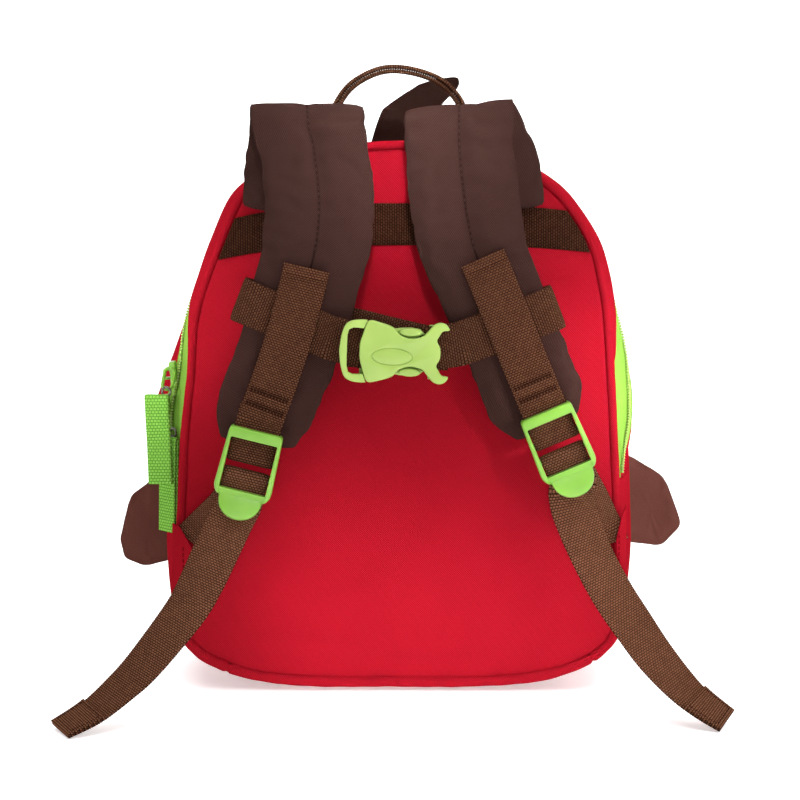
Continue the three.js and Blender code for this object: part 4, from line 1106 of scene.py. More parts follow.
def piping(y, middle_at, notches=()):
    """Cloth-covered cord round a panel, slightly uneven, with a join at each notch."""
    shares = seam_shares(0, 1, CORD_STEP)[:-1]
    x, z = middle_at(shares)
    _, _, out_x, out_z = seam_at(shares)
    run = shares * SEAM_LENGTH
    turn = 2 * np.pi * shares
    swell = 1 + sum(size * np.sin(count * turn + start) for size, count, start in CORD_WAVES)
    for notch in notches:
        swell = swell - NOTCH_DEPTH * hump(run - notch * SEAM_LENGTH, NOTCH_HALF)
    angle = np.linspace(0, 2 * np.pi, CORD_SIDES, endpoint=False)[None, :]
    radius = CORD_RADIUS * (swell * cord_swell(out_z))[:, None]
    outward = seam_shift(out_z)[:, None] + radius * np.cos(angle)
    cord_x = x[:, None] + out_x[:, None] * outward
    cord_z = np.maximum(z[:, None] + out_z[:, None] * outward, 0)
    points = np.stack([cord_x, y + radius * np.sin(angle), cord_z], axis=-1)
    around = CORD_RADIUS * np.minimum(angle, 2 * np.pi - angle)
    cloth = np.stack(np.broadcast_arrays(around, run[:, None]), axis=-1)
    return points.reshape(-1, 3), loft_faces(len(shares), CORD_SIDES, loop=True), cloth.reshape(-1, 2)


def panel_inset(out_z):
    """How far the panel's edge stays inside the seam line."""
    return CORD_REACH * cord_swell(out_z) - seam_shift(out_z)


def panel(y, crown, edge_at, side, relief):
    """Padded panel that swells from its sewn edge."""
    shares = seam_shares(0, 1, PANEL_STEP)[:-1]
    x, z = edge_at(shares)
    _, _, out_x, out_z = seam_at(shares)
    inset = panel_inset(out_z)
    edge_x = x - out_x * inset
    edge_rise = z - out_z * inset - CROWN_CENTRE_Z
    grid_x = PANEL_RINGS * edge_x
    grid_z = CROWN_CENTRE_Z + PANEL_RINGS * edge_rise
    to_edge = (1 - PANEL_RINGS) * np.hypot(edge_x, edge_rise)
    gathers = ripples(shares * SEAM_LENGTH, PANEL_WAVES) * np.exp(-to_edge / PANEL_WAVE_REACH)
    creases = np.clip(to_edge / RELIEF_MARGIN, 0, 1) * relief(grid_x, grid_z)
    roll = -PANEL_ROLL * np.exp(-to_edge / PANEL_ROLL_REACH)
    rise = crown * (1 - PANEL_RINGS**CROWN_POWER)
    outer_rise = rise + PANEL_THICK / 2 + roll + PANEL_WAVE_DEPTH * gathers + creases
    faces = []
    for height in (outer_rise, rise - PANEL_THICK / 2):
        faces.append(np.stack(np.broadcast_arrays(grid_x, y + side * height, grid_z), axis=-1))
    return dish(*faces)


CREASE_RISE = 1.2
SAG_Z = 24
SAG_HALF = 7.0
SAG_CURVE = 0.0004
SAG_LENGTH = 26
SAG_START = 0.5
PULL_HALF = 8.0
PULL_SLOPE = 0.5
PULL_TOP_Z = 110
PULL_LOW_Z = 30
LEFT_PULL_X = -62
RIGHT_PULL_X = 58
PANEL_SLACK = 0.8
# Columns: length sideways, length upward
BACK_WAVES = ((31, 43), (-57, 29))
FRONT_WAVE_WIDE = 37
FRONT_WAVE_TALL = 45
FRONT_WAVE_START = 1
YOKE_PRESS_RISE = 2.2
YOKE_PRESS_HALF = 7.0
YOKE_PRESS_DROP = 8
YOKE_PRESS_DIP = 6


def back_relief(x, z):
    """Soft creases of the back panel, in millimetres outward."""
    sag = hump(z - SAG_Z - SAG_CURVE * x * x, SAG_HALF) * np.sin(x / SAG_LENGTH + SAG_START)
    left_pull = hump(x - LEFT_PULL_X + z * PULL_SLOPE, PULL_HALF)
    right_pull = hump(x - RIGHT_PULL_X - z * PULL_SLOPE, PULL_HALF)
    pulls = (left_pull + right_pull) * smoothstep(-z, -PULL_TOP_Z, -PULL_LOW_Z)
    waves = [np.sin(x / wide + z / tall) for wide, tall in BACK_WAVES]
    slack = PANEL_SLACK * waves[0] * waves[1]
    yoke_low = YOKE_Z - YOKE_HEIGHT / 2 - YOKE_PRESS_DIP * np.abs(x / YOKE_HALF) ** YOKE_DIP_POWER
    below_yoke = YOKE_PRESS_RISE * hump(z - yoke_low + YOKE_PRESS_DROP, YOKE_PRESS_HALF)
    return CREASE_RISE * (sag + pulls) + slack + below_yoke


def front_relief(x, z):
    """Slack cloth of the front panel, in millimetres outward."""
    return PANEL_SLACK * np.sin(x / FRONT_WAVE_WIDE + FRONT_WAVE_START) * np.sin(z / FRONT_WAVE_TALL)


def back_face_y(x, z):
    """Depth of the back panel's outer face at a place in the picture plane."""
    seam_x, seam_z, _, out_z = seam_at(np.linspace(0, 0.5, SEAM_SAMPLES))
    angles = np.arctan2(seam_z - CROWN_CENTRE_Z, seam_x)
    reach = np.hypot(seam_x, seam_z - CROWN_CENTRE_Z) - panel_inset(out_z)
    angle = np.arctan2(z - CROWN_CENTRE_Z, np.abs(x))
    share = np.minimum(1, np.hypot(x, z - CROWN_CENTRE_Z) / np.interp(angle, angles, reach))
    return BACK_SEAM_Y - BACK_CROWN * (1 - share**CROWN_POWER) - PANEL_THICK / 2


zip_back = zip_edge(ZIP_BACK_Y, -GAP)
zip_front = zip_edge(ZIP_FRONT_Y, GAP)
for name, part, node in (
    ("back_panel_cloth", panel(BACK_SEAM_Y, BACK_CROWN, back_seam, -1, back_relief), "back_panel"),
    ("back_piping_cord", piping(BACK_SEAM_Y, back_seam, (LEFT_NOTCH, RIGHT_NOTCH)), "back_piping"),
    ("front_panel_cloth", panel(FRONT_SEAM_Y, FRONT_CROWN, front_seam, 1, front_relief), "front_panel"),
    ("front_piping_cord", piping(FRONT_SEAM_Y, front_seam), "front_piping"),
    ("lower_gusset", gusset_band(-zip_share, zip_share, back_edge, front_edge), "gusset_lower"),
    ("upper_back_gusset", gusset_band(*upper_run, back_edge, zip_back), "gusset_upper_back"),
    ("upper_front_gusset", gusset_band(*upper_run, zip_front, front_edge), "gusset_upper_front"),
):
    make_piece(name, [part], red_cloth, node)

# Zip

TAPE_LOOSENESS = 0.15
TOOTH_SIZE = (0.95, 4.6, 1.5)
TOOTH_BEVEL = 0.3
TOOTH_PITCH = 1.5
TOOTH_LIFT = 0.5
TEETH_MARGIN = 0.004
LOOK_AHEAD = 0.001


def model_tooth():
    """One loop of the zip coil, made about the origin: X along the zip, Y across it, Z off the tape."""
    tooth = add_shape(bpy.ops.mesh.primitive_cube_add, size=1.0)
    edit(tooth)
    bpy.ops.transform.resize(value=TOOTH_SIZE)
    bpy.ops.mesh.bevel(offset=TOOTH_BEVEL, segments=1, affect="EDGES")
    done()
    return taken_apart(tooth)


def on_coil(shares):
    return gusset_point(shares, coil_depth(shares), -TOOTH_LIFT)


def zip_teeth():
    points, faces = model_tooth()
    shares = seam_shares(zip_share + TEETH_MARGIN, 1 - zip_share - TEETH_MARGIN, TOOTH_PITCH)
    base = on_coil(shares)
    side = np.array((0.0, 1.0, 0.0))
    parts = []
    for place, along in zip(base, unit(on_coil(shares + LOOK_AHEAD) - base)):
        tooth = placed(points, place, along, side, np.cross(along, side))
        parts.append((tooth, faces, tooth[:, 1:]))
    return parts


tape_edges = (zip_edge(ZIP_BACK_Y, 0), zip_edge(ZIP_FRONT_Y, 0))
tape = gusset_band(*upper_run, *tape_edges, ZIP_TAPE_THICK, TAPE_LOOSENESS)
make_piece("zip_tape_cloth", [tape], lime_tape, "zip_tape")
make_piece("zip_teeth", zip_teeth(), buckle_plastic, "zip_coil")

# Webbing on the straps and through the locks

LOCKS = {
    "left": {"x": -73.9, "y": -83.6, "z": 147.3, "lean": -14},
    "right": {"x": 75.8, "y": -83.6, "z": 157.6, "lean": 23},
}
LOCK_FIXED_BAR = 15.6
LOCK_SLIDE_BAR = 25
LOCK_LOW_BAR = 32.6
LOCK_BAR_DEPTH = -3.7
LOCK_BAR_RADIUS = 1.5
WEB_TURN = LOCK_BAR_RADIUS + GAP + WEBBING_THICK / 2
WEB_FRONT = LOCK_BAR_DEPTH + WEB_TURN
WEB_BACK = LOCK_BAR_DEPTH - WEB_TURN
WEB_INNER = WEB_FRONT - WEBBING_THICK
WEAVE_STEP = 0.625
ROW_STEPS = 6
TURN_STEPS = 13
# Columns: distance down the lock, distance out
STRAP_INTO_LOCK = ((-4, WEB_FRONT), (4, WEB_FRONT))
STRAP_OUT_OF_LOCK = ((9, -5.4), (4, -3.5), (-2, WEB_INNER - GAP), (-12, WEB_INNER))
LOWER_INTO_LOCK = ((LOCK_LOW_BAR, WEB_BACK),)
LOWER_OUT_OF_LOCK = ((LOCK_LOW_BAR - 1, WEB_FRONT), (40, WEB_FRONT))


def leaning(rows):
    """Stations along a smooth curve through rows of x, y, z, lean and, where the strip turns, turn."""
    rows = smooth_rows(rows, ROW_STEPS)
    turn = rows[:, 4] if rows.shape[1] > 4 else np.zeros(len(rows))
    return np.concatenate([rows[:, :3], width_direction(rows[:, 3], turn)], axis=1)


def lock_station(lock, along, out):
    lean = math.radians(lock["lean"])
    x = lock["x"] + math.sin(lean) * along
    z = lock["z"] - math.cos(lean) * along
    return (x, lock["y"] - out, z) + tuple(width_direction(lock["lean"]))


def through_lock(lock, before, bar, start, end, after):
    """Stations before a bar of the lock, round it and after it; angle 90 is the front, 0 down the lock."""
    stations = [lock_station(lock, *row) for row in before]
    for angle in np.radians(np.linspace(start, end, TURN_STEPS)):
        out = LOCK_BAR_DEPTH + WEB_TURN * math.sin(angle)
        stations.append(lock_station(lock, bar + WEB_TURN * math.cos(angle), out))
    return stations + [lock_station(lock, *row) for row in after]


def part_of(frames, start, end, lift):
    """A layer laid on a strip, between two runs along it."""
    keep = (frames["run"] >= start) & (frames["run"] <= end)
    layer = {key: values[keep] for key, values in frames.items()}
    layer["place"] = layer["place"] + layer["out"] * lift
    return layer


BOX_INSET = 2.4
BOX_STITCH = {"pitch": 2.6, "length": 2.0, "thick": 0.5}


def box_stitch(frames, start, end, lift):
    """A sewn box with a line near each end and along both edges."""
    inside = WEBBING_WIDTH / 2 - BOX_INSET
    lines = [on_strip(frames, side, start, end, lift) for side in (-inside, inside)]
    lines += [across_strip(frames, run, 2 * inside, lift) for run in (start, end)]
    parts = []
    for line in lines:
        parts += stitch_line(*line, **BOX_STITCH)
    return parts


TOP_HEM_LENGTH = 7
TOP_HEM_THICK = 1.1
TOP_HEM_LIFT = 1.35
TOP_HEM_SEAM = 1.8
TOP_HEM_STITCH = {"pitch": 2.0, "length": 1.5, "thick": 0.5}
TOP_HEM_STITCH_WIDTH = 20
TOP_HEM_STITCH_LIFT = 1.95
BAR_TACK_STARTS = (68.5, 76)
BAR_TACK_ROWS = 3
BAR_TACK_STEP = 1.1
BAR_TACK_WIDTH = 21
BAR_TACK_LIFT = WEBBING_THICK / 2 + 0.05
BAR_TACK_STITCH = {"pitch": 1.7, "length": 1.4, "thick": 0.7}
HEM_LENGTH = 21
HEM_THICK = 1.3
HEM_LIFT = 1.45
HEM_STITCH_LIFT = 2.15
HEM_STITCH_START = 2
HEM_STITCH_END = 3
webbing_stitches = []
for side in SIDES:
    turn = through_lock(LOCKS[side], STRAP_INTO_LOCK, LOCK_FIXED_BAR, 90, -90, STRAP_OUT_OF_LOCK)
    frames = path_frames(np.concatenate([leaning(STRAP_WEBBING_ROWS[side]), turn]), WEAVE_STEP)
    hem = part_of(frames, 0, TOP_HEM_LENGTH, TOP_HEM_LIFT)
    layers = [strip(frames, WEBBING_WIDTH, WEBBING_THICK), strip(hem, WEBBING_WIDTH, TOP_HEM_THICK)]
    make_piece("strap_webbing_band_" + side, layers, brown_webbing, "strap_webbing_" + side)
    hem_seam = TOP_HEM_LENGTH - TOP_HEM_SEAM
    hem_line = across_strip(frames, hem_seam, TOP_HEM_STITCH_WIDTH, TOP_HEM_STITCH_LIFT)
    webbing_stitches += stitch_line(*hem_line, **TOP_HEM_STITCH)
    for start in BAR_TACK_STARTS:
        for row in range(BAR_TACK_ROWS):
            line = across_strip(frames, start + row * BAR_TACK_STEP, BAR_TACK_WIDTH, BAR_TACK_LIFT)
            webbing_stitches += stitch_line(*line, **BAR_TACK_STITCH)

for side in SIDES:
    turn = through_lock(LOCKS[side], LOWER_INTO_LOCK, LOCK_SLIDE_BAR, -90, -270, LOWER_OUT_OF_LOCK)
    path = np.concatenate([leaning(ANCHOR_ROWS[side]), turn, leaning(TAIL_ROWS[side])])
    frames = path_frames(path, WEAVE_STEP)
    end = frames["run"][-1]
    hem = part_of(frames, end - HEM_LENGTH, end, HEM_LIFT)
    layers = [strip(frames, WEBBING_WIDTH, WEBBING_THICK), strip(hem, WEBBING_WIDTH, HEM_THICK)]
    # The lower webbing wears the lighter copy of the brown webbing, which carries painted light.
    make_piece("lower_webbing_band_" + side, layers, lit_tail_webbing, "lower_webbing_" + side)
    box_start = end - HEM_LENGTH + HEM_STITCH_START
    webbing_stitches += box_stitch(frames, box_start, end - HEM_STITCH_END, HEM_STITCH_LIFT)

# Chest strap

BUCKLE = {"x": -2.6, "y": -90, "z": 189.4, "lean": -2}
FRAME_BAR_X = -16.2
HORN_BAR_X = 19.2
BUCKLE_BAR_OUT = -3
BUCKLE_BAR_RADIUS = 1.5
BUCKLE_TURN = BUCKLE_BAR_RADIUS + GAP + WEBBING_THICK / 2
BUCKLE_WEB_LEAN = 13
BUCKLE_WEB_UP = 2
BUCKLE_WEB_END = 9
CHEST_WIDTH = WEBBING_WIDTH - 1
CHEST_LEAN = 21
CHEST_TILT = -0.066
CHEST_TURN_RADIUS = 6.2
CHEST_TURN_STEPS = 17
CHEST_TURNS = {"left": (-77, -79.5, 213.6), "right": (76, -79.4, 209.6)}
CHEST_BARS = {"left": FRAME_BAR_X, "right": HORN_BAR_X}


def buckle_station(along, out, across):
    """A station on the webbing at the buckle, in the buckle's own leaning frame."""
    lean = math.radians(BUCKLE["lean"])
    x = BUCKLE["x"] + math.cos(lean) * along - math.sin(lean) * BUCKLE_WEB_UP
    z = BUCKLE["z"] + math.sin(lean) * along + math.cos(lean) * BUCKLE_WEB_UP
    return (x, BUCKLE["y"] - out, z) + tuple(across)


def chest_across(hand, lean):
    across = width_direction(90 + hand * lean)
    across[1] = CHEST_TILT
    return tuple(unit(across))


def chest_run(hand, rows):
    return [tuple(row[:3]) + chest_across(hand, row[3]) for row in smooth_rows(rows, ROW_STEPS)]


def chest_path(side, hand):
    """A turn on the buckle bar, the front run, a turn round the padded strap, the back run."""
    bar = CHEST_BARS[side]
    across = width_direction(90 + hand * BUCKLE_WEB_LEAN)
    stations = [buckle_station(bar + hand * BUCKLE_WEB_END, BUCKLE_BAR_OUT - BUCKLE_TURN, across)]
    for angle in np.radians(np.linspace(-90, -270 if hand > 0 else 90, TURN_STEPS)):
        out = BUCKLE_BAR_OUT + BUCKLE_TURN * math.sin(angle)
        stations.append(buckle_station(bar + BUCKLE_TURN * math.cos(angle), out, across))
    stations += chest_run(hand, CHEST_FRONT_ROWS[side])
    x, y, z = CHEST_TURNS[side]
    slope = hand * math.tan(math.radians(CHEST_LEAN))
    for angle in np.radians(np.linspace(90, 270, CHEST_TURN_STEPS)):
        reach = hand * CHEST_TURN_RADIUS * abs(math.cos(angle))
        place = (x + reach, y - CHEST_TURN_RADIUS * math.sin(angle), z + slope * reach)
        stations.append(place + chest_across(hand, CHEST_LEAN))
    return np.array(stations + chest_run(hand, CHEST_BACK_ROWS[side]))


for side, hand in zip(SIDES, (-1, 1)):
    band = strip(path_frames(chest_path(side, hand), WEAVE_STEP), CHEST_WIDTH, WEBBING_THICK)
    # The chest strap wears the darker copy of the brown webbing, which carries painted shade.
    make_piece("chest_strap_band_" + side, [band], shaded_chest_webbing, "chest_strap_" + side)

# Yoke and handle

YOKE_COLUMNS = 241
YOKE_LEFT_DIP = 8
YOKE_RIGHT_DIP = 4
YOKE_TOOTH = 0.012
YOKE_EDGE_LOSS = 0.6
YOKE_RIB = 0.08
HANDLE_STEPS = 8
HANDLE_LAYER_THICK = 2.2
HANDLE_LAYER_LIFT = 1.2
UPPER_SEAM_ROW = 10
upper_seam = half_seam[UPPER_SEAM_ROW * SEAM_STEPS :]


def yoke():
    """Webbing across the panel between the side seams."""
    heights = np.linspace(-YOKE_HEIGHT / 2, YOKE_HEIGHT / 2, STRIP_COLUMNS)[:, None]
    sides = np.linspace(-1, 1, YOKE_COLUMNS)[None, :]
    swing = every_other(YOKE_COLUMNS)[None, :]
    dip = np.where(sides < 0, YOKE_LEFT_DIP, YOKE_RIGHT_DIP)
    z = YOKE_Z - dip * np.abs(sides) ** YOKE_DIP_POWER + heights * (1 + YOKE_TOOTH * swing)
    reach = np.interp(z, upper_seam[:, 1], upper_seam[:, 0]) - 2 * GAP
    x = sides * np.where(sides < 0, reach - left_squash(z)[0], reach)
    edge = np.abs(heights / (YOKE_HEIGHT / 2)) ** STRIP_EDGE_POWER
    base = back_face_y(x, z) - GAP
    face = base - WEBBING_THICK + YOKE_EDGE_LOSS * edge - YOKE_RIB * swing * (1 - edge)
    cloth = np.stack(np.broadcast_arrays(heights, x), axis=-1)
    return wall(np.stack([x, face, z], axis=-1), np.stack([x, base, z], axis=-1), cloth)


# The yoke wears the darker copy of the brown webbing, which carries painted shade.
make_piece("yoke_band", [yoke()], yoke_webbing, "yoke_webbing")

handle_line = smooth_rows(HANDLE_ROWS, HANDLE_STEPS)
# Columns: place, then the direction across the webbing
handle_path = np.zeros((len(handle_line), 6))
handle_path[:, 0] = handle_line[:, 0]
handle_path[:, 1] = HANDLE_Y
handle_path[:, 2] = handle_line[:, 1]
handle_path[:, 4] = -1
frames = path_frames(handle_path, WEAVE_STEP)
layers = []
for lift in (-HANDLE_LAYER_LIFT, HANDLE_LAYER_LIFT):
    layers.append(strip(part_of(frames, 0, frames["run"][-1], lift), HANDLE_WIDTH, HANDLE_LAYER_THICK))
make_piece("handle_webbing", layers, brown_webbing, "grab_handle")

# Zip pulls

PULL_LAYER = (PULL_THICK + GAP) / 2 + 0.1
PULL_BEND = 14
PULL_BEND_SHARE = 0.7
PULL_MIDDLE_SHARE = 0.4
PULL_TURN_STEPS = 9
# Each ring, top and bottom: x, z
ZIP_PULLS = {
    "upper": {
        "slider_z": 170,
        "ring": (-125.6, 162.5),
        "top": (-130.2, 160.6),
        "bottom": (-128.6, 112.6),
        "y": -42.5,
        "turn": 10,
        "link_back": 4.6,
    },
    "lower": {
        "slider_z": 152,
        "ring": (-124, 139.5),
        "top": (-124.2, 137),
        "bottom": (-125.4, 85.6),
        "y": -37,
        "turn": 45,
        "link_back": 0.8,
    },
}


def pull_path(row):
    """A tab folded in half, fold at the top."""
    across = width_direction(0, row["turn"])
    face = np.array([across[1], -across[0], 0])
    top_x, top_z = row["top"]
    bottom_x, bottom_z = row["bottom"]
    fold_z = top_z - PULL_LAYER

    def station(height, out, share):
        x = bottom_x + (top_x - bottom_x) * share
        return tuple(np.array([x, row["y"], height]) + face * out) + tuple(across)

    middle_z = (fold_z + bottom_z) / 2
    steps = ((fold_z - PULL_BEND, PULL_BEND_SHARE), (middle_z, PULL_MIDDLE_SHARE), (bottom_z, 0))
    front = [station(height, PULL_LAYER, share) for height, share in steps]
    back = [station(height, -PULL_LAYER, share) for height, share in steps]
    turn = []
    for angle in np.radians(np.linspace(0, 180, PULL_TURN_STEPS)):
        turn.append(station(fold_z + PULL_LAYER * math.sin(angle), PULL_LAYER * math.cos(angle), 1))
    return np.array(front[::-1] + turn + back)


for name, row in ZIP_PULLS.items():
    tab = strip(path_frames(pull_path(row), WEAVE_STEP, rounding=1), PULL_WIDTH, PULL_THICK)
    make_piece("pull_tab_" + name, [tab], lime_webbing, "zip_pull_" + name)

# Padding

PUFF_FRAMES = 20
LEAST_MOVE = 1e-9
PUFF_CLOTH = {
    "quality": 5,
    "mass": 0.2,
    "tension_stiffness": 12,
    "compression_stiffness": 12,
    "shear_stiffness": 4,
    "bending_stiffness": 0.3,
    "use_pressure": True,
    "vertex_group_mass": "sewn",
}


def puff(piece, pinned, pressure, shrink, cap):
    """Cloth blown up from inside while its sewn lines stay put; each point moves by no more than its cap."""
    start = np.empty(len(piece.data.vertices) * 3)
    piece.data.vertices.foreach_get("co", start)
    group = piece.vertex_groups.new(name="sewn")
    group.add(np.flatnonzero(pinned).tolist(), 1.0, "REPLACE")
    modifier = piece.modifiers.new("padding", "CLOTH")
    for name, value in PUFF_CLOTH.items():
        setattr(modifier.settings, name, value)
    modifier.settings.uniform_pressure_force = pressure
    modifier.settings.shrink_min = shrink
    modifier.settings.effector_weights.gravity = 0
    modifier.collision_settings.use_collision = False
    modifier.point_cache.frame_start = 1
    modifier.point_cache.frame_end = PUFF_FRAMES
    for number in range(1, PUFF_FRAMES + 1):
        scene.frame_set(number)
    result = piece.evaluated_get(bpy.context.evaluated_depsgraph_get()).to_mesh()
    blown = np.empty(len(start))
    result.vertices.foreach_get("co", blown)
    piece.modifiers.remove(modifier)
    piece.vertex_groups.remove(group)
    scene.frame_set(1)
    move = (blown - start).reshape(-1, 3)
    length = np.linalg.norm(move, axis=1)
    limit = np.minimum(length, cap) / np.maximum(length, LEAST_MOVE)
    piece.data.vertices.foreach_set("co", (start.reshape(-1, 3) + move * limit[:, None]).ravel())
    piece.data.update()


def refine(piece):
    """One smooth subdivision."""
    modifier = piece.modifiers.new("soft", "SUBSURF")
    modifier.levels = 1
    modifier.render_levels = 1
    apply_modifiers(piece)


LAY_REACH = 12
LAY_LIFT = 0.1


def laid_on(piece, points, outward):
    """Points moved along their outward directions onto a piece's surface, and a little above it."""
    tree = BVHTree.FromObject(piece, bpy.context.evaluated_depsgraph_get())
    result = []
    for point, out in zip(points, outward):
        hit = tree.ray_cast(Vector((point + out * LAY_REACH) * MM), -Vector(out), 2 * LAY_REACH * MM)[0]
        result.append(point if hit is None else np.array(hit) / MM)
    return np.array(result) + outward * LAY_LIFT


# Padded straps

STRAP_STEPS = 8
STRAP_STEP = 3.0
STRAP_FRONT_POINTS = 25
STRAP_BACK_POINTS = 23
STRAP_POINTS = STRAP_FRONT_POINTS + STRAP_BACK_POINTS
STRAP_MIDDLES = (STRAP_FRONT_POINTS // 2, STRAP_FRONT_POINTS + STRAP_BACK_POINTS // 2)
# Columns: size, length, start
STRAP_WIDTH_WAVES = ((0.008, 8.3, 0), (0.006, 5.1, 1))
STRAP_GATHERS = ((0.05, 1.7, 0), (0.05, 2.9, 1))
GATHER_PLACE = 0.2
GATHER_HALF = 0.14
PILLOW_EDGE = 0.1
PILLOW_POWER = 3.2
PILLOW_SHARE = 0.98
GROOVE_WIDTH = 0.13
FRONT_GROOVE = 0.78
BACK_GROOVE = 0.3
CREST_HEIGHT = 9
CREST_FILLING = 0.75
OUTER_FLATNESS = 0.85
INNER_FLATNESS = 0.2
STRAP_PRESSURE = 4.0
STRAP_SHRINK = -0.05
SEWN_TOP_ROWS = 2
SEWN_LOW_ROWS = 3
FREE_CAP = 1.5
WEBBING_CAP = 0.15
CHEST_CAP = 0.1
WEBBING_SHARE = 0.55
WEBBING_TOP_Z = 240
CHEST_PRESS_LOW = 186
CHEST_PRESS_HIGH = 226
GROOVE_STITCH = {"pitch": 3.2, "length": 1.9, "thick": 0.6}
GROOVE_STITCH_END_Z = 238
front_side = np.sin(np.linspace(-np.pi / 2, np.pi / 2, STRAP_FRONT_POINTS))
strap_side = np.concatenate([front_side, front_side[-2:0:-1]])
strap_front = np.arange(STRAP_POINTS) < STRAP_FRONT_POINTS


def strap_face(run, at_crest, hand):
    """How far each point round the strap stands off its middle, as a share of half the thickness."""
    pillow = PILLOW_EDGE + (1 - PILLOW_EDGE) * np.sqrt(1 - np.abs(strap_side) ** PILLOW_POWER)
    groove = np.where(strap_front, FRONT_GROOVE, BACK_GROOVE) * hump(strap_side, GROOVE_WIDTH)
    face = np.where(strap_front, 1, -1) * pillow * (1 - (1 - CREST_FILLING * at_crest) * groove)
    flat = np.where(strap_side * hand > 0, OUTER_FLATNESS, INNER_FLATNESS) * (1 - pillow)
    near_groove = np.where(strap_front, hump(np.abs(strap_side) - GATHER_PLACE, GATHER_HALF), 0)
    return PILLOW_SHARE * face + at_crest * flat + ripples(run, STRAP_GATHERS) * near_groove


def padded_strap(side, hand):
    """A padded strap that folds over at the top; returns the line of stitches in its front groove."""
    run, stations = evenly(smooth_rows(STRAP_ROWS[side], STRAP_STEPS), STRAP_STEP)
    place = stations[:, :3]
    z = place[:, 2]
    wide = (stations[:, 3] * (1 + ripples(run, STRAP_WIDTH_WAVES)))[:, None]
    along = unit(np.gradient(place, axis=0))
    across = square_to(width_direction(stations[:, 5]), along)
    out = np.cross(along, across)
    at_crest = hump(z - np.max(z), CREST_HEIGHT)[:, None]
    body = stations[:, 4:5] / 2 * strap_face(run[:, None], at_crest, hand)
    sideways = strap_side * wide / 2
    points = place[:, None] + across[:, None] * sideways[..., None] + out[:, None] * body[..., None]
    around = np.where(strap_front, strap_side, np.sign(strap_side) * (2 - np.abs(strap_side)))
    cloth = np.stack(np.broadcast_arrays(around * wide / 2, run[:, None]), axis=-1)
    part = (points.reshape(-1, 3), loft_faces(len(run), STRAP_POINTS), cloth.reshape(-1, 2))
    piece = make_piece("padded_strap_" + side, [part], strap_cloth, "shoulder_strap_" + side)
    pinned = np.zeros((len(run), STRAP_POINTS))
    pinned[:, [0, STRAP_FRONT_POINTS - 1, *STRAP_MIDDLES]] = 1
    pinned[:SEWN_TOP_ROWS] = 1
    pinned[-SEWN_LOW_ROWS:] = 1
    cap = np.full((len(run), STRAP_POINTS), FREE_CAP)
    cap[np.ix_(z < WEBBING_TOP_Z, (np.abs(strap_side) < WEBBING_SHARE) & strap_front)] = WEBBING_CAP
    cap[(z < CHEST_PRESS_HIGH) & (z > CHEST_PRESS_LOW)] = CHEST_CAP
    puff(piece, pinned.ravel(), STRAP_PRESSURE, STRAP_SHRINK, cap.ravel() * MM)
    refine(piece)
    keep = (np.arange(len(z)) > np.argmax(z)) & (z > GROOVE_STITCH_END_Z)
    line = laid_on(piece, points[keep, STRAP_MIDDLES[0]], out[keep])
    return stitch_line(line, out[keep], **GROOVE_STITCH)


groove_stitches = []
for side, hand in zip(SIDES, (-1, 1)):
    groove_stitches += padded_strap(side, hand)

# Padded trims and corner tabs

# Columns: share of the way to the edge, fullness
TRIM_RINGS = np.array(
    ((0.12, 1.0), (0.3, 0.99), (0.5, 0.95), (0.68, 0.86), (0.82, 0.7), (0.92, 0.5), (0.98, 0.3), (1.0, 0.12))
)
TRIM_FULLNESS = 0.85
TRIM_PRESSURE = 3.0
TRIM_SHRINK = -0.06
TRIM_CAP = 1.2


def closed_outline(rows, steps):
    """Smooth closed outline through rows of x and z."""
    looped = [rows[-1], *rows, rows[0], rows[1]]
    return smooth_rows(looped, steps)[steps : steps * (len(rows) + 1)]


def cut_outline(rows, steps, passes=0):
    """Closed outline with straight edges; each pass rounds its corners a little."""
    corners = [*rows, rows[0]]
    edge = np.concatenate([np.linspace(a, b, steps, endpoint=False) for a, b in zip(corners, corners[1:])])
    for _ in range(passes):
        edge = (np.roll(edge, 1, axis=0) + 2 * edge + np.roll(edge, -1, axis=0)) / 4
    return edge


def rings_of(edge, middle, shares):
    """Rings of x and z that grow from a middle to an edge."""
    shares = np.asarray(shares)[:, None]
    return middle[0] + shares * (edge[:, 0] - middle[0]), middle[1] + shares * (edge[:, 1] - middle[1])


def padded_trim(name, edge, finish, node):
    x, z = rings_of(edge, np.mean(edge, axis=0), TRIM_RINGS[:, 0])
    swell = TRIM_RINGS[:, 1:] * TRIM_THICK / 2 * TRIM_FULLNESS
    faces = []
    for side in (-1, 1):
        faces.append(np.stack(np.broadcast_arrays(x, TRIM_Y + side * swell, z), axis=-1))
    part = dish(*faces)
    piece = make_piece(name, [part], finish, node)
    pinned = np.zeros((2, len(part[0]) // 2))
    pinned[:, -len(edge) :] = 1
    puff(piece, pinned.ravel(), TRIM_PRESSURE, TRIM_SHRINK, TRIM_CAP * MM)
    refine(piece)


tuft_edge = closed_outline(TUFT_ROWS, steps=6)
left_flap_edge = cut_outline(LEFT_FLAP_ROWS, steps=10, passes=5)
right_flap_edge = cut_outline(RIGHT_FLAP_ROWS, steps=14, passes=8)
# The tuft wears the darker cloth that carries painted shade.
padded_trim("top_tuft_padding", tuft_edge, shaded_tuft_cloth, "top_tuft")
padded_trim("side_flap_padding_left", left_flap_edge, flap_cloth, "side_flap_left")
padded_trim("side_flap_padding_right", right_flap_edge, flap_cloth, "side_flap_right")

TAB_STEPS = 6
TAB_RINGS = (0.1, 0.35, 0.6, 0.8, 0.93, 1.0)
TAB_EDGE_ROUND = 0.5
TAB_SEAM_SHARE = 0.985
TAB_SEAM_UP = 9
TAB_SEAM_DOWN = 7
TAB_SEAM_STEPS = 10
TAB_SEAM_LIFT = 0.1
TAB_STITCH = {"pitch": 3.4, "length": 2.2, "thick": 0.6}


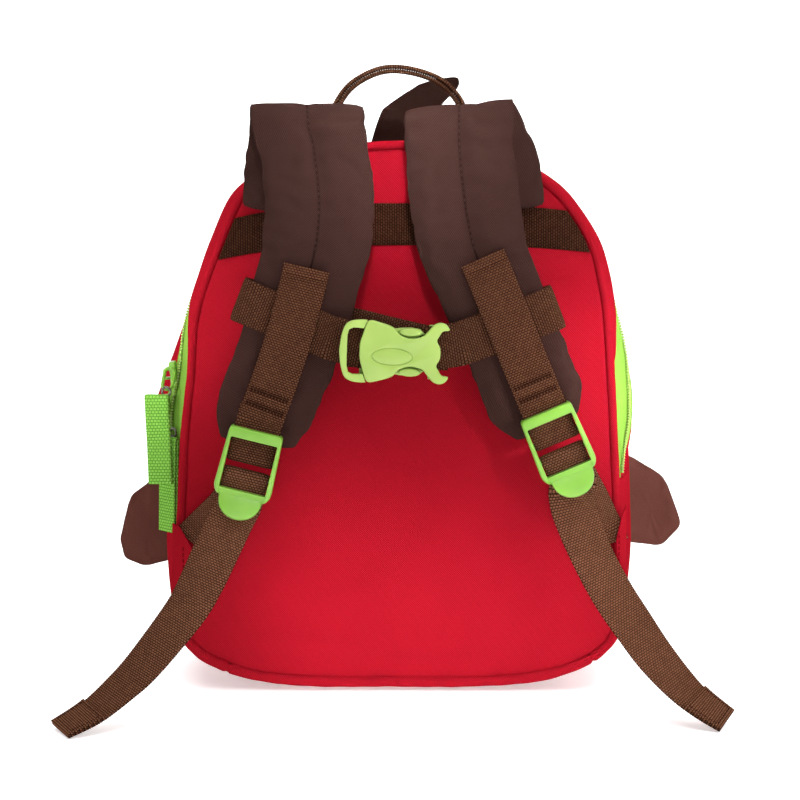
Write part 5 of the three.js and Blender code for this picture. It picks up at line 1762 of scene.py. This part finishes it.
def tab_depth(rows, x):
    """Back of a corner tab: flat at the seam, lifted over the webbing at its tip."""
    reach = np.abs(np.asarray(rows, float)[:, 0])
    share = np.clip((reach.max() - np.abs(x)) / (reach.max() - reach.min()), 0, 1) ** 0.5
    return TAB_ROOT_Y + (TAB_TIP_Y - TAB_ROOT_Y) * share


tab_stitches = []
for side in SIDES:
    rows = TAB_ROWS[side]
    middle = np.mean(rows, axis=0)
    x, z = rings_of(cut_outline(rows, TAB_STEPS), middle, TAB_RINGS)
    y = tab_depth(rows, x)
    face = y - TAB_THICK
    face[-1] += TAB_EDGE_ROUND
    part = dish(np.stack([x, face, z], axis=-1), np.stack([x, y, z], axis=-1))
    make_piece("corner_tab_cloth_" + side, [part], red_cloth, "corner_tab_" + side)
    seam_x = np.full(TAB_SEAM_STEPS, middle[0] * TAB_SEAM_SHARE)
    seam_z = np.linspace(middle[1] + TAB_SEAM_UP, middle[1] - TAB_SEAM_DOWN, TAB_SEAM_STEPS)
    seam_y = tab_depth(rows, seam_x) - TAB_THICK - TAB_SEAM_LIFT
    outward = np.tile((0.0, -1.0, 0.0), (TAB_SEAM_STEPS, 1))
    tab_stitches += stitch_line(np.stack([seam_x, seam_y, seam_z], axis=1), outward, **TAB_STITCH)

# Hard pieces, modelled about the origin: X to the right, Z up, front towards -Y

NEAR = 0.01
FRONT_ROUND_STEPS = 4
BACK_ROUND_STEPS = 2
BLOCK_ROUND_STEPS = 3
BAR_SIDES = 20
BAR_BEVEL = 0.2
SMOOTH_ANGLE = 40
DOUBLES = 0.002


def select_edges(test):
    """Select the edges whose two end points both pass a test, in edit mode."""
    shape = bmesh.from_edit_mesh(bpy.context.object.data)
    for part in (shape.verts, shape.edges, shape.faces):
        for element in part:
            element.select = False
    for edge in shape.edges:
        if test(edge.verts[0].co / MM) and test(edge.verts[1].co / MM):
            edge.select = True
    bmesh.update_edit_mesh(bpy.context.object.data)


def round_edges(radius, steps):
    """Round the selected edges, in edit mode."""
    bpy.ops.mesh.bevel(offset=radius * MM, segments=steps, affect="EDGES", clamp_overlap=True)


def traced_plate(outline, front, back, rounding, back_rounding=0.0):
    """A plate traced point by point, pulled to its thickness, with rounded front and back edges."""
    outline = np.asarray(outline, float)
    first = (outline[0, 0] * MM, front * MM, outline[0, 1] * MM)
    plate = add_shape(bpy.ops.mesh.primitive_plane_add, size=2 * MM, location=first)
    edit(plate)
    bpy.ops.mesh.select_mode(type="VERT")
    bpy.ops.mesh.select_all(action="SELECT")
    bpy.ops.mesh.merge(type="CENTER")
    for step in np.diff(outline, axis=0) * MM:
        bpy.ops.mesh.extrude_vertices_move(TRANSFORM_OT_translate={"value": (step[0], 0, step[1])})
    bpy.ops.mesh.select_all(action="SELECT")
    bpy.ops.mesh.edge_face_add()
    bpy.ops.mesh.select_all(action="SELECT")
    bpy.ops.mesh.extrude_region_move(TRANSFORM_OT_translate={"value": (0, (back - front) * MM, 0)})
    bpy.ops.mesh.select_all(action="SELECT")
    bpy.ops.mesh.normals_make_consistent(inside=False)
    bpy.ops.mesh.select_mode(type="EDGE")
    select_edges(lambda place: abs(place.y - front) < NEAR)
    round_edges(rounding, FRONT_ROUND_STEPS)
    if back_rounding > 0:
        select_edges(lambda place: abs(place.y - back) < NEAR)
        round_edges(back_rounding, BACK_ROUND_STEPS)
    done()
    return plate


def block(low, high, rounding=0.0):
    """A cuboid between two corners, with rounded edges."""
    low = np.asarray(low, float)
    high = np.asarray(high, float)
    middle = tuple((low + high) / 2 * MM)
    cuboid = add_shape(
        bpy.ops.mesh.primitive_cube_add, size=1, location=middle, scale=tuple((high - low) * MM)
    )
    if rounding > 0:
        edit(cuboid)
        round_edges(rounding, BLOCK_ROUND_STEPS)
        done()
    return cuboid


def round_bar(start, end, radius):
    """A bar between two points, with its end edges taken off."""
    start = Vector(start) * MM
    end = Vector(end) * MM
    bar = add_shape(
        bpy.ops.mesh.primitive_cylinder_add,
        vertices=BAR_SIDES,
        radius=radius * MM,
        depth=(end - start).length,
        location=(start + end) / 2,
        rotation=(end - start).to_track_quat("Z", "Y").to_euler(),
    )
    edit(bar)
    round_edges(BAR_BEVEL, 1)
    done()
    return bar


def wire_loop(radius, wire, segments, sides, place=(0, 0, 0), turn=0.0):
    """A round loop of wire that faces the front."""
    return add_shape(
        bpy.ops.mesh.primitive_torus_add,
        major_segments=segments,
        minor_segments=sides,
        major_radius=radius,
        minor_radius=wire,
        location=place,
        rotation=(math.pi / 2, 0, turn),
    )


def combine(base, other, operation):
    """Join another solid to a base, or cut it away."""
    modifier = base.modifiers.new("combine", "BOOLEAN")
    modifier.operation = operation
    modifier.solver = "EXACT"
    modifier.object = other
    apply_modifiers(base)
    bpy.data.objects.remove(other, do_unlink=True)


def join(base, other):
    combine(base, other, "UNION")


def cut(base, other):
    combine(base, other, "DIFFERENCE")


def finish_mesh(piece):
    """Merge doubles and turn every face outward."""
    edit(piece)
    bpy.ops.mesh.remove_doubles(threshold=DOUBLES * MM)
    bpy.ops.mesh.normals_make_consistent(inside=False)
    done()


def soften(piece, width, angle):
    """A clean mesh with small rounded edges all over and smooth shading."""
    finish_mesh(piece)
    modifier = piece.modifiers.new("soft_edges", "BEVEL")
    modifier.width = width * MM
    modifier.segments = 2
    modifier.limit_method = "ANGLE"
    modifier.angle_limit = math.radians(angle)
    modifier.use_clamp_overlap = True
    apply_modifiers(piece)
    bpy.ops.object.shade_smooth_by_angle(angle=math.radians(SMOOTH_ANGLE))


def own_copy(piece):
    """A copy of a piece with its own mesh."""
    copy = piece.copy()
    copy.data = piece.data.copy()
    scene.collection.objects.link(copy)
    return copy


def set_in_place(piece, place):
    """Move a piece made about the origin to its place, leaning in the picture plane."""
    lean = Matrix.Rotation(-math.radians(place["lean"]), 4, "Y")
    shift = Matrix.Translation(Vector((place["x"], place["y"], place["z"])) * MM)
    piece.data.transform(shift @ lean)
    piece.data.update()


# Ladder locks

LOCK_TOP_WIDTH = 28.4
LOCK_LOW_WIDTH = 30.4
LOCK_LENGTH = 38.8
LOCK_FOOT = LOCK_LENGTH - 1
LOCK_WINDOW = 24.8
LOCK_WINDOW_ROUND = 0.7
LOCK_FRONT = -4.4
LOCK_BACK = 5.2
LOCK_FRONT_ROUND = 1.1
LOCK_BACK_ROUND = 0.5
LOCK_TOP_BAR = 5.4
LOCK_CORNER = 2.4
LOCK_LOW_CORNER = 7
LOCK_SLOPE = 5.7
LOCK_SLOPE_END = LOCK_LENGTH + 2
LOCK_BAR_REACH = 0.6
LOCK_TAB_TILT = -17
LOCK_TAB_WIDTH = 23
LOCK_TAB_DROP = 13.4
LOCK_TAB_ROOT = LOCK_LENGTH - 4
LOCK_TAB_FRONT = LOCK_FRONT + 2.6
LOCK_TAB_BACK = LOCK_FRONT + 4.3
LOCK_TAB_HINGE = LOCK_FRONT + 3.4
LOCK_TAB_POWER = 0.75
LOCK_TAB_STEPS = 17
LOCK_EDGE = 0.3
LOCK_EDGE_ANGLE = 35
# Far enough to cut right through
BEYOND = 9


def arc(x, z, radius, start, end, count):
    """Points round a centre, between two angles in degrees."""
    angles = np.radians(np.linspace(start, end, count))
    return [(x + radius * math.cos(angle), z + radius * math.sin(angle)) for angle in angles]


def lock_outline():
    top = LOCK_TOP_WIDTH / 2 - LOCK_CORNER
    low = LOCK_LOW_WIDTH / 2 - LOCK_LOW_CORNER
    low_z = LOCK_LOW_CORNER - LOCK_FOOT
    points = arc(top, -LOCK_CORNER, LOCK_CORNER, start=90, end=0, count=5)
    points += arc(low, low_z, LOCK_LOW_CORNER, start=0, end=-90, count=7)
    points += arc(-low, low_z, LOCK_LOW_CORNER, start=-90, end=-180, count=7)
    return points + arc(-top, -LOCK_CORNER, LOCK_CORNER, start=180, end=90, count=5)


def thumb_tab():
    """A rounded tab that tilts forward from the foot of the lock."""
    outline = []
    for angle in np.linspace(0, math.pi, LOCK_TAB_STEPS):
        drop = max(math.sin(angle), 0) ** LOCK_TAB_POWER
        outline.append((math.cos(angle) * LOCK_TAB_WIDTH / 2, -LOCK_TAB_ROOT - drop * LOCK_TAB_DROP))
    thumb = traced_plate(outline, LOCK_TAB_FRONT, LOCK_TAB_BACK, rounding=0.7, back_rounding=0.4)
    root = Vector((0, LOCK_TAB_HINGE, -LOCK_TAB_ROOT)) * MM
    tilt = Matrix.Rotation(math.radians(LOCK_TAB_TILT), 4, "X")
    thumb.data.transform(Matrix.Translation(root) @ tilt @ Matrix.Translation(-root))
    return thumb


def ladder_lock():
    """Frame with an open window, two recessed bars, a sloped low bar and a thumb tab."""
    half = LOCK_WINDOW / 2
    lock = traced_plate(lock_outline(), LOCK_FRONT, LOCK_BACK, LOCK_FRONT_ROUND, LOCK_BACK_ROUND)
    cut(lock, block((-half, -BEYOND, -LOCK_LOW_BAR), (half, BEYOND, -LOCK_TOP_BAR), LOCK_WINDOW_ROUND))
    cut(lock, block((-half, 0, -LOCK_LENGTH - BEYOND), (half, BEYOND, BEYOND)))
    slope = block((-half, -BEYOND, -LOCK_SLOPE_END), (half, LOCK_FRONT, -LOCK_LOW_BAR))
    edit(slope)
    select_edges(lambda place: place.y > LOCK_FRONT - NEAR and place.z < -LOCK_LENGTH)
    bpy.ops.transform.translate(value=(0, LOCK_SLOPE * MM, 0))
    done()
    cut(lock, slope)
    reach = half + LOCK_BAR_REACH
    for along in (LOCK_FIXED_BAR, LOCK_SLIDE_BAR):
        ends = [(x, -LOCK_BAR_DEPTH, -along) for x in (-reach, reach)]
        join(lock, round_bar(*ends, LOCK_BAR_RADIUS))
    join(lock, thumb_tab())
    soften(lock, LOCK_EDGE, LOCK_EDGE_ANGLE)
    return lock


left_lock = ladder_lock()
for side, lock in zip(SIDES, (left_lock, own_copy(left_lock))):
    lock.name = "lock_plastic_" + side
    set_in_place(lock, LOCKS[side])
    dress(lock, lock_plastic, "ladder_lock_" + side)

# Buckle

BUCKLE_FRONT = -4.5
BUCKLE_BACK = 4.5
BUCKLE_PLATE_BACK = BUCKLE_FRONT + 3.3
BACK_PLATE_FRONT = BUCKLE_BACK - 1.5
POST_FRONT = BUCKLE_PLATE_BACK - 0.5
# Each: low corner, high corner
SOCKET_BACK_PLATE = ((-11.6, BACK_PLATE_FRONT, -11.5), (13, BUCKLE_BACK, 11.5))
SOCKET_RIB = ((-4, POST_FRONT, -5.5), (12.6, BUCKLE_BACK - 1, 5.5))
BUCKLE_BAR_REACH = 14
BUCKLE_STEPS = 4
SLOT_STEPS = 3
BUCKLE_EDGE = 0.15
BUCKLE_EDGE_ANGLE = 50
OVAL_CENTRE = (-1, -2.4)
OVAL_HALF = (10.4, 4.3)
OVAL_WIRE = 0.05
LOBE_X = 8.2
LOBE_OUT = 10.4
LOBE_LONG = 11.2
LOBE_TALL = 4.2
LOBE_STEPS = 28
LOBE_FRONT = BUCKLE_FRONT + 0.9
LOBE_BACK = BUCKLE_PLATE_BACK + 1.5


def with_mirror(upper):
    """The upper half of an outline and its mirror image."""
    return np.concatenate([upper, upper[::-1][1:-1] * (1, -1)])


def posts(base, start, end, near, far):
    """A pair of posts behind the front plate, above and below the middle."""
    for low, high in ((-far, -near), (near, far)):
        join(base, block((start, POST_FRONT, low), (end, BUCKLE_BACK, high), rounding=0.3))


def webbing_bar(base, x):
    ends = [(x, -BUCKLE_BAR_OUT, z) for z in (-BUCKLE_BAR_REACH, BUCKLE_BAR_REACH)]
    join(base, round_bar(*ends, BUCKLE_BAR_RADIUS))


def oval_groove(base):
    """A fine oval line pressed into the front."""
    ring = wire_loop(1.0, OVAL_WIRE, segments=64, sides=8)
    edit(ring)
    bpy.ops.transform.resize(value=(OVAL_HALF[0] * MM, BEYOND * MM, OVAL_HALF[1] * MM))
    bpy.ops.transform.translate(value=(OVAL_CENTRE[0] * MM, BUCKLE_FRONT * MM, OVAL_CENTRE[1] * MM))
    done()
    cut(base, ring)


def buckle_socket():
    """Horned front plate, back plate, a rib between them and a bar for the webbing."""
    outline = with_mirror(smooth_rows(SOCKET_HALF_ROWS, BUCKLE_STEPS))
    socket = traced_plate(outline, BUCKLE_FRONT, BUCKLE_PLATE_BACK, rounding=1.2, back_rounding=0.3)
    oval_groove(socket)
    join(socket, block(*SOCKET_BACK_PLATE, rounding=0.4))
    join(socket, block(*SOCKET_RIB))
    posts(socket, start=19.4, end=22.4, near=10.5, far=13.4)
    webbing_bar(socket, HORN_BAR_X)
    return socket


def buckle_prongs():
    """Slot frame, bar for the webbing and two sprung arms that show as press lobes in the socket's sides."""
    outside = smooth_rows(FRAME_OUTSIDE_ROWS, BUCKLE_STEPS)
    inside = smooth_rows(FRAME_INSIDE_ROWS, SLOT_STEPS)
    lower = np.concatenate([inside[::-1][1:], outside[::-1][:-1]]) * (1, -1)
    outline = np.concatenate([outside, inside, lower])
    prongs = traced_plate(outline, BUCKLE_FRONT, BUCKLE_PLATE_BACK, rounding=0.9, back_rounding=0.3)
    posts(prongs, start=-18.4, end=-16.2, near=12.3, far=15.0)
    webbing_bar(prongs, FRAME_BAR_X)
    turns = np.linspace(0, 2 * np.pi, LOBE_STEPS, endpoint=False)
    lobe_x = LOBE_X + LOBE_LONG / 2 * np.cos(turns)
    lobe_z = LOBE_OUT + LOBE_TALL / 2 * np.sin(turns)
    for hand in (-1, 1):
        arm = np.asarray(ARM_ROWS, float) * (1, hand)
        join(prongs, traced_plate(arm, BUCKLE_PLATE_BACK + GAP, BACK_PLATE_FRONT - GAP, rounding=0.5))
        lobe = np.stack([lobe_x, hand * lobe_z], axis=-1)
        join(prongs, traced_plate(lobe, LOBE_FRONT, LOBE_BACK, rounding=0.9))
    return prongs


for name, model, node in (
    ("buckle_socket_body", buckle_socket, "buckle_socket"),
    ("buckle_pronged_frame", buckle_prongs, "buckle_prongs"),
):
    piece = model()
    soften(piece, BUCKLE_EDGE, BUCKLE_EDGE_ANGLE)
    piece.name = name
    set_in_place(piece, BUCKLE)
    dress(piece, buckle_plastic, node)

# Zip sliders and rings

SLIDER_LONG = 14
SLIDER_WIDE = 8
SLIDER_TALL = 7.4
# Each: low corner, high corner
SLIDER_BRIDGE = ((-SLIDER_TALL, -1.4, -2.6), (-0.6, 1.4, 3.4))
SLIDER_EYE = ((-SLIDER_TALL + 1.1, -3, -1.2), (-SLIDER_TALL / 2 + 0.2, 3, 2.2))
SLIDER_RISE = 1.4
SLIDER_ROUND = 0.9
SLIDER_TAPER = 0.6
SLIDER_TAPER_LENGTH = 1.2
SLIDER_EDGE = 0.2
SLIDER_EDGE_ANGLE = 35
RING_RADIUS = 2.4
RING_WIRE = 0.6
RING_TOP_SHARE = 0.6
RING_TOP_WIDTH = 0.94
LINK_WIDTH = 5.4
LINK_WIRE = 1.8
LINK_LONG = 11
LINK_LEAN = 1.8
# From the pull's place to the link's low end: back, up
LINK_BEHIND = 7.4
LINK_ABOVE = 0.5


def zip_slider():
    """Slider about the origin: length along Z, front towards -Y, foot towards +X, bridge towards -X."""
    long = SLIDER_LONG / 2
    wide = SLIDER_WIDE / 2
    slider = block((-SLIDER_TALL / 2, -wide, -long), (0, wide, long), SLIDER_ROUND)
    edit(slider)
    select_edges(lambda place: place.z < -long + SLIDER_TAPER_LENGTH)
    bpy.ops.transform.resize(value=(1, SLIDER_TAPER, 1), center_override=(0, 0, -long * MM))
    done()
    join(slider, block(*SLIDER_BRIDGE, SLIDER_ROUND))
    cut(slider, block(*SLIDER_EYE))
    soften(slider, SLIDER_EDGE, SLIDER_EDGE_ANGLE)
    return slider


def wire_link(start, end):
    """Long wire loop from the slider to the ring."""
    start = Vector(start)
    end = Vector(end)
    stretch = ((end - start).length - LINK_WIDTH) / 2
    link = wire_loop(LINK_WIDTH / 2 * MM, LINK_WIRE / 2 * MM, segments=36, sides=10)
    edit(link)
    select_edges(lambda place: place.z > -NEAR)
    bpy.ops.transform.translate(value=(0, 0, stretch * MM))
    select_edges(lambda place: place.z < 2 * NEAR)
    bpy.ops.transform.translate(value=(0, 0, -stretch * MM))
    done()
    turn = Vector((0, 0, 1)).rotation_difference(start - end).to_matrix().to_4x4()
    link.data.transform(Matrix.Translation((start + end) / 2 * MM) @ turn)
    return link


def zip_ring(row):
    """A small ring behind the fold of a pull, pressed narrower at the top."""
    behind = PULL_LAYER + PULL_THICK / 2 + GAP + RING_WIRE
    turn = math.radians(row["turn"])
    ring_x, ring_z = row["ring"]
    swing = math.sin(turn) * (ring_x - row["top"][0])
    y = row["y"] + math.cos(turn) * behind - swing
    place = tuple(Vector((ring_x + math.sin(turn) * behind, y, ring_z)) * MM)
    ring = wire_loop(RING_RADIUS * MM, RING_WIRE * MM, segments=40, sides=10, place=place, turn=-turn)
    edit(ring)
    select_edges(lambda spot: spot.z > ring_z + RING_RADIUS * RING_TOP_SHARE)
    bpy.ops.transform.resize(value=(RING_TOP_WIDTH, 1, 1), center_override=place)
    done()
    bpy.ops.object.shade_smooth()
    return ring


slider_model = zip_slider()
for name, row in ZIP_PULLS.items():
    share = np.array([1 - share_at_height(row["slider_z"])])
    base = gusset_point(share, coil_depth(share))[0]
    _, _, out_x, out_z = seam_at(share)
    foot = base + np.array([out_x[0], 0, out_z[0]]) * SLIDER_RISE
    slider = own_copy(slider_model)
    slider.name = "zip_slider_body_" + name
    lean = math.atan2(-out_z[0], -out_x[0])
    slider.data.transform(Matrix.Translation(Vector(foot) * MM) @ Matrix.Rotation(lean, 4, "Y"))
    ring_end = np.array([row["ring"][0], row["y"] + LINK_BEHIND, row["ring"][1] + LINK_ABOVE])
    slider_end = ring_end + np.array([LINK_LEAN, row["link_back"], LINK_LONG])
    join(slider, wire_link(slider_end, ring_end))
    finish_mesh(slider)
    dress(slider, lock_plastic, "zip_slider_" + name)
    ring = zip_ring(row)
    ring.name = "zip_ring_wire_" + name
    dress(ring, ring_metal, "zip_ring_" + name)
bpy.data.objects.remove(slider_model, do_unlink=True)

# Sewing

make_piece("webbing_stitches", webbing_stitches, brown_thread)
make_piece("groove_stitches", groove_stitches, groove_thread)
make_piece("tab_stitches", tab_stitches, red_thread)
